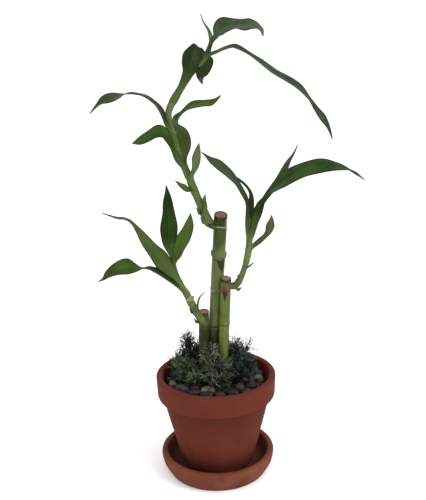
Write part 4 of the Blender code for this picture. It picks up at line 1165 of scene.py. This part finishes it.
MOSS_LOOKS = {
    "blue": moss_finish("moss_blue_green", linear(18, 25, 21), linear(92, 108, 95)),
    "green": moss_finish("moss_grey_green", linear(30, 40, 28), linear(116, 134, 104)),
    "bright": moss_finish("moss_fresh_green", linear(36, 50, 36), linear(138, 160, 122)),
    "straw": moss_finish("moss_straw_green", linear(12, 18, 12), linear(126, 140, 111)),
}
# The heart's near-black colour is painted shade, standing for the dense tangle deep in a clump.
heart_shade_finish, heart_shader, paint = new_finish("moss_heart_shade", 0.98)
place = paint.node("TexCoord", output=3)
tangle = paint.noise(place, 900, 4)
heart_shade_colour = tangle.step(0.42, 0.68).mix(linear(7, 10, 8), linear(46, 58, 46))
paint.plug(heart_shader.inputs["Base Color"], heart_shade_colour)
heart_shader.inputs["Specular IOR Level"].default_value = 0.05
grain(paint, heart_shader, tangle, 1.0, 0.002)
for name, (look, (forks, thick, spread), lumps) in CLUMPS.items():
    moss = grow_moss(name, forks, thick, spread, lumps)
    dress(moss, MOSS_LOOKS[look], "moss_dark" if look == "blue" else "moss_green", name)
    dress(moss_heart_shade(name, lumps), heart_shade_finish, "moss_dark")

# ---- Floor, light and camera
# A plain white studio: a pale floor that runs into a white room, one big soft light from the upper right
# front and a weaker one from the left. The floor glows a little too, painted light that lifts the shadows on
# it.

bpy.ops.object.select_all(action="DESELECT")
bpy.ops.mesh.primitive_plane_add(size=40, location=(0, 0, 0))
floor = start_piece("studio_floor")
bpy.ops.object.mode_set(mode="OBJECT")
floor_finish, floor_shader, _ = new_finish("pale_floor", 0.9)
floor_shader.inputs["Base Color"].default_value = (0.98, 0.98, 0.98, 1)
floor_shader.inputs["Specular IOR Level"].default_value = 0.1
# painted light: the floor glows a little, which lifts the shadows that fall on it
floor_shader.inputs["Emission Color"].default_value = (1, 1, 1, 1)
floor_shader.inputs["Emission Strength"].default_value = 0.13
floor.data.materials.clear()
floor.data.materials.append(floor_finish)

world = bpy.data.worlds.new("white_room")
bpy.context.scene.world = world
world.use_nodes = True
world.node_tree.nodes["Background"].inputs["Color"].default_value = (1, 1, 1, 1)
world.node_tree.nodes["Background"].inputs["Strength"].default_value = 1.04


def soft_light(name, place, aim, size, power):
    """A round soft box at a place, turned to its aim."""
    lamp = bpy.data.lights.new(name, "AREA")
    lamp.shape = "DISK"
    lamp.size = size
    lamp.energy = power
    body = bpy.data.objects.new(name, lamp)
    body.location = place
    body.rotation_euler = (Vector(aim) - Vector(place)).to_track_quat("-Z", "Y").to_euler()
    bpy.context.collection.objects.link(body)


soft_light("key_light", (1.2, -0.9, 1.3), (0, 0, 0.2), 0.9, 18)
soft_light("fill_light", (-1.2, -1.0, 1.0), (0, 0, 0.2), 1.2, 3)

CAMERA_RIGHT = 0.00031
CAMERA_BACK = 0.5878
CAMERA_HEIGHT = 0.3597
CAMERA_DOWN = math.radians(14.53)
CAMERA_ROLL = math.radians(1.49)
camera_data = bpy.data.cameras.new("camera")
camera_data.lens = 50.4
camera_data.sensor_width = 36
camera = bpy.data.objects.new("camera", camera_data)
bpy.context.collection.objects.link(camera)
camera.matrix_world = (Matrix.Translation((CAMERA_RIGHT, -CAMERA_BACK, CAMERA_HEIGHT))
                       @ Matrix.Rotation(math.pi / 2 - CAMERA_DOWN, 4, "X")
                       @ Matrix.Rotation(-CAMERA_ROLL, 4, "Z"))
bpy.context.scene.camera = camera
bpy.context.scene.view_settings.view_transform = "Standard"
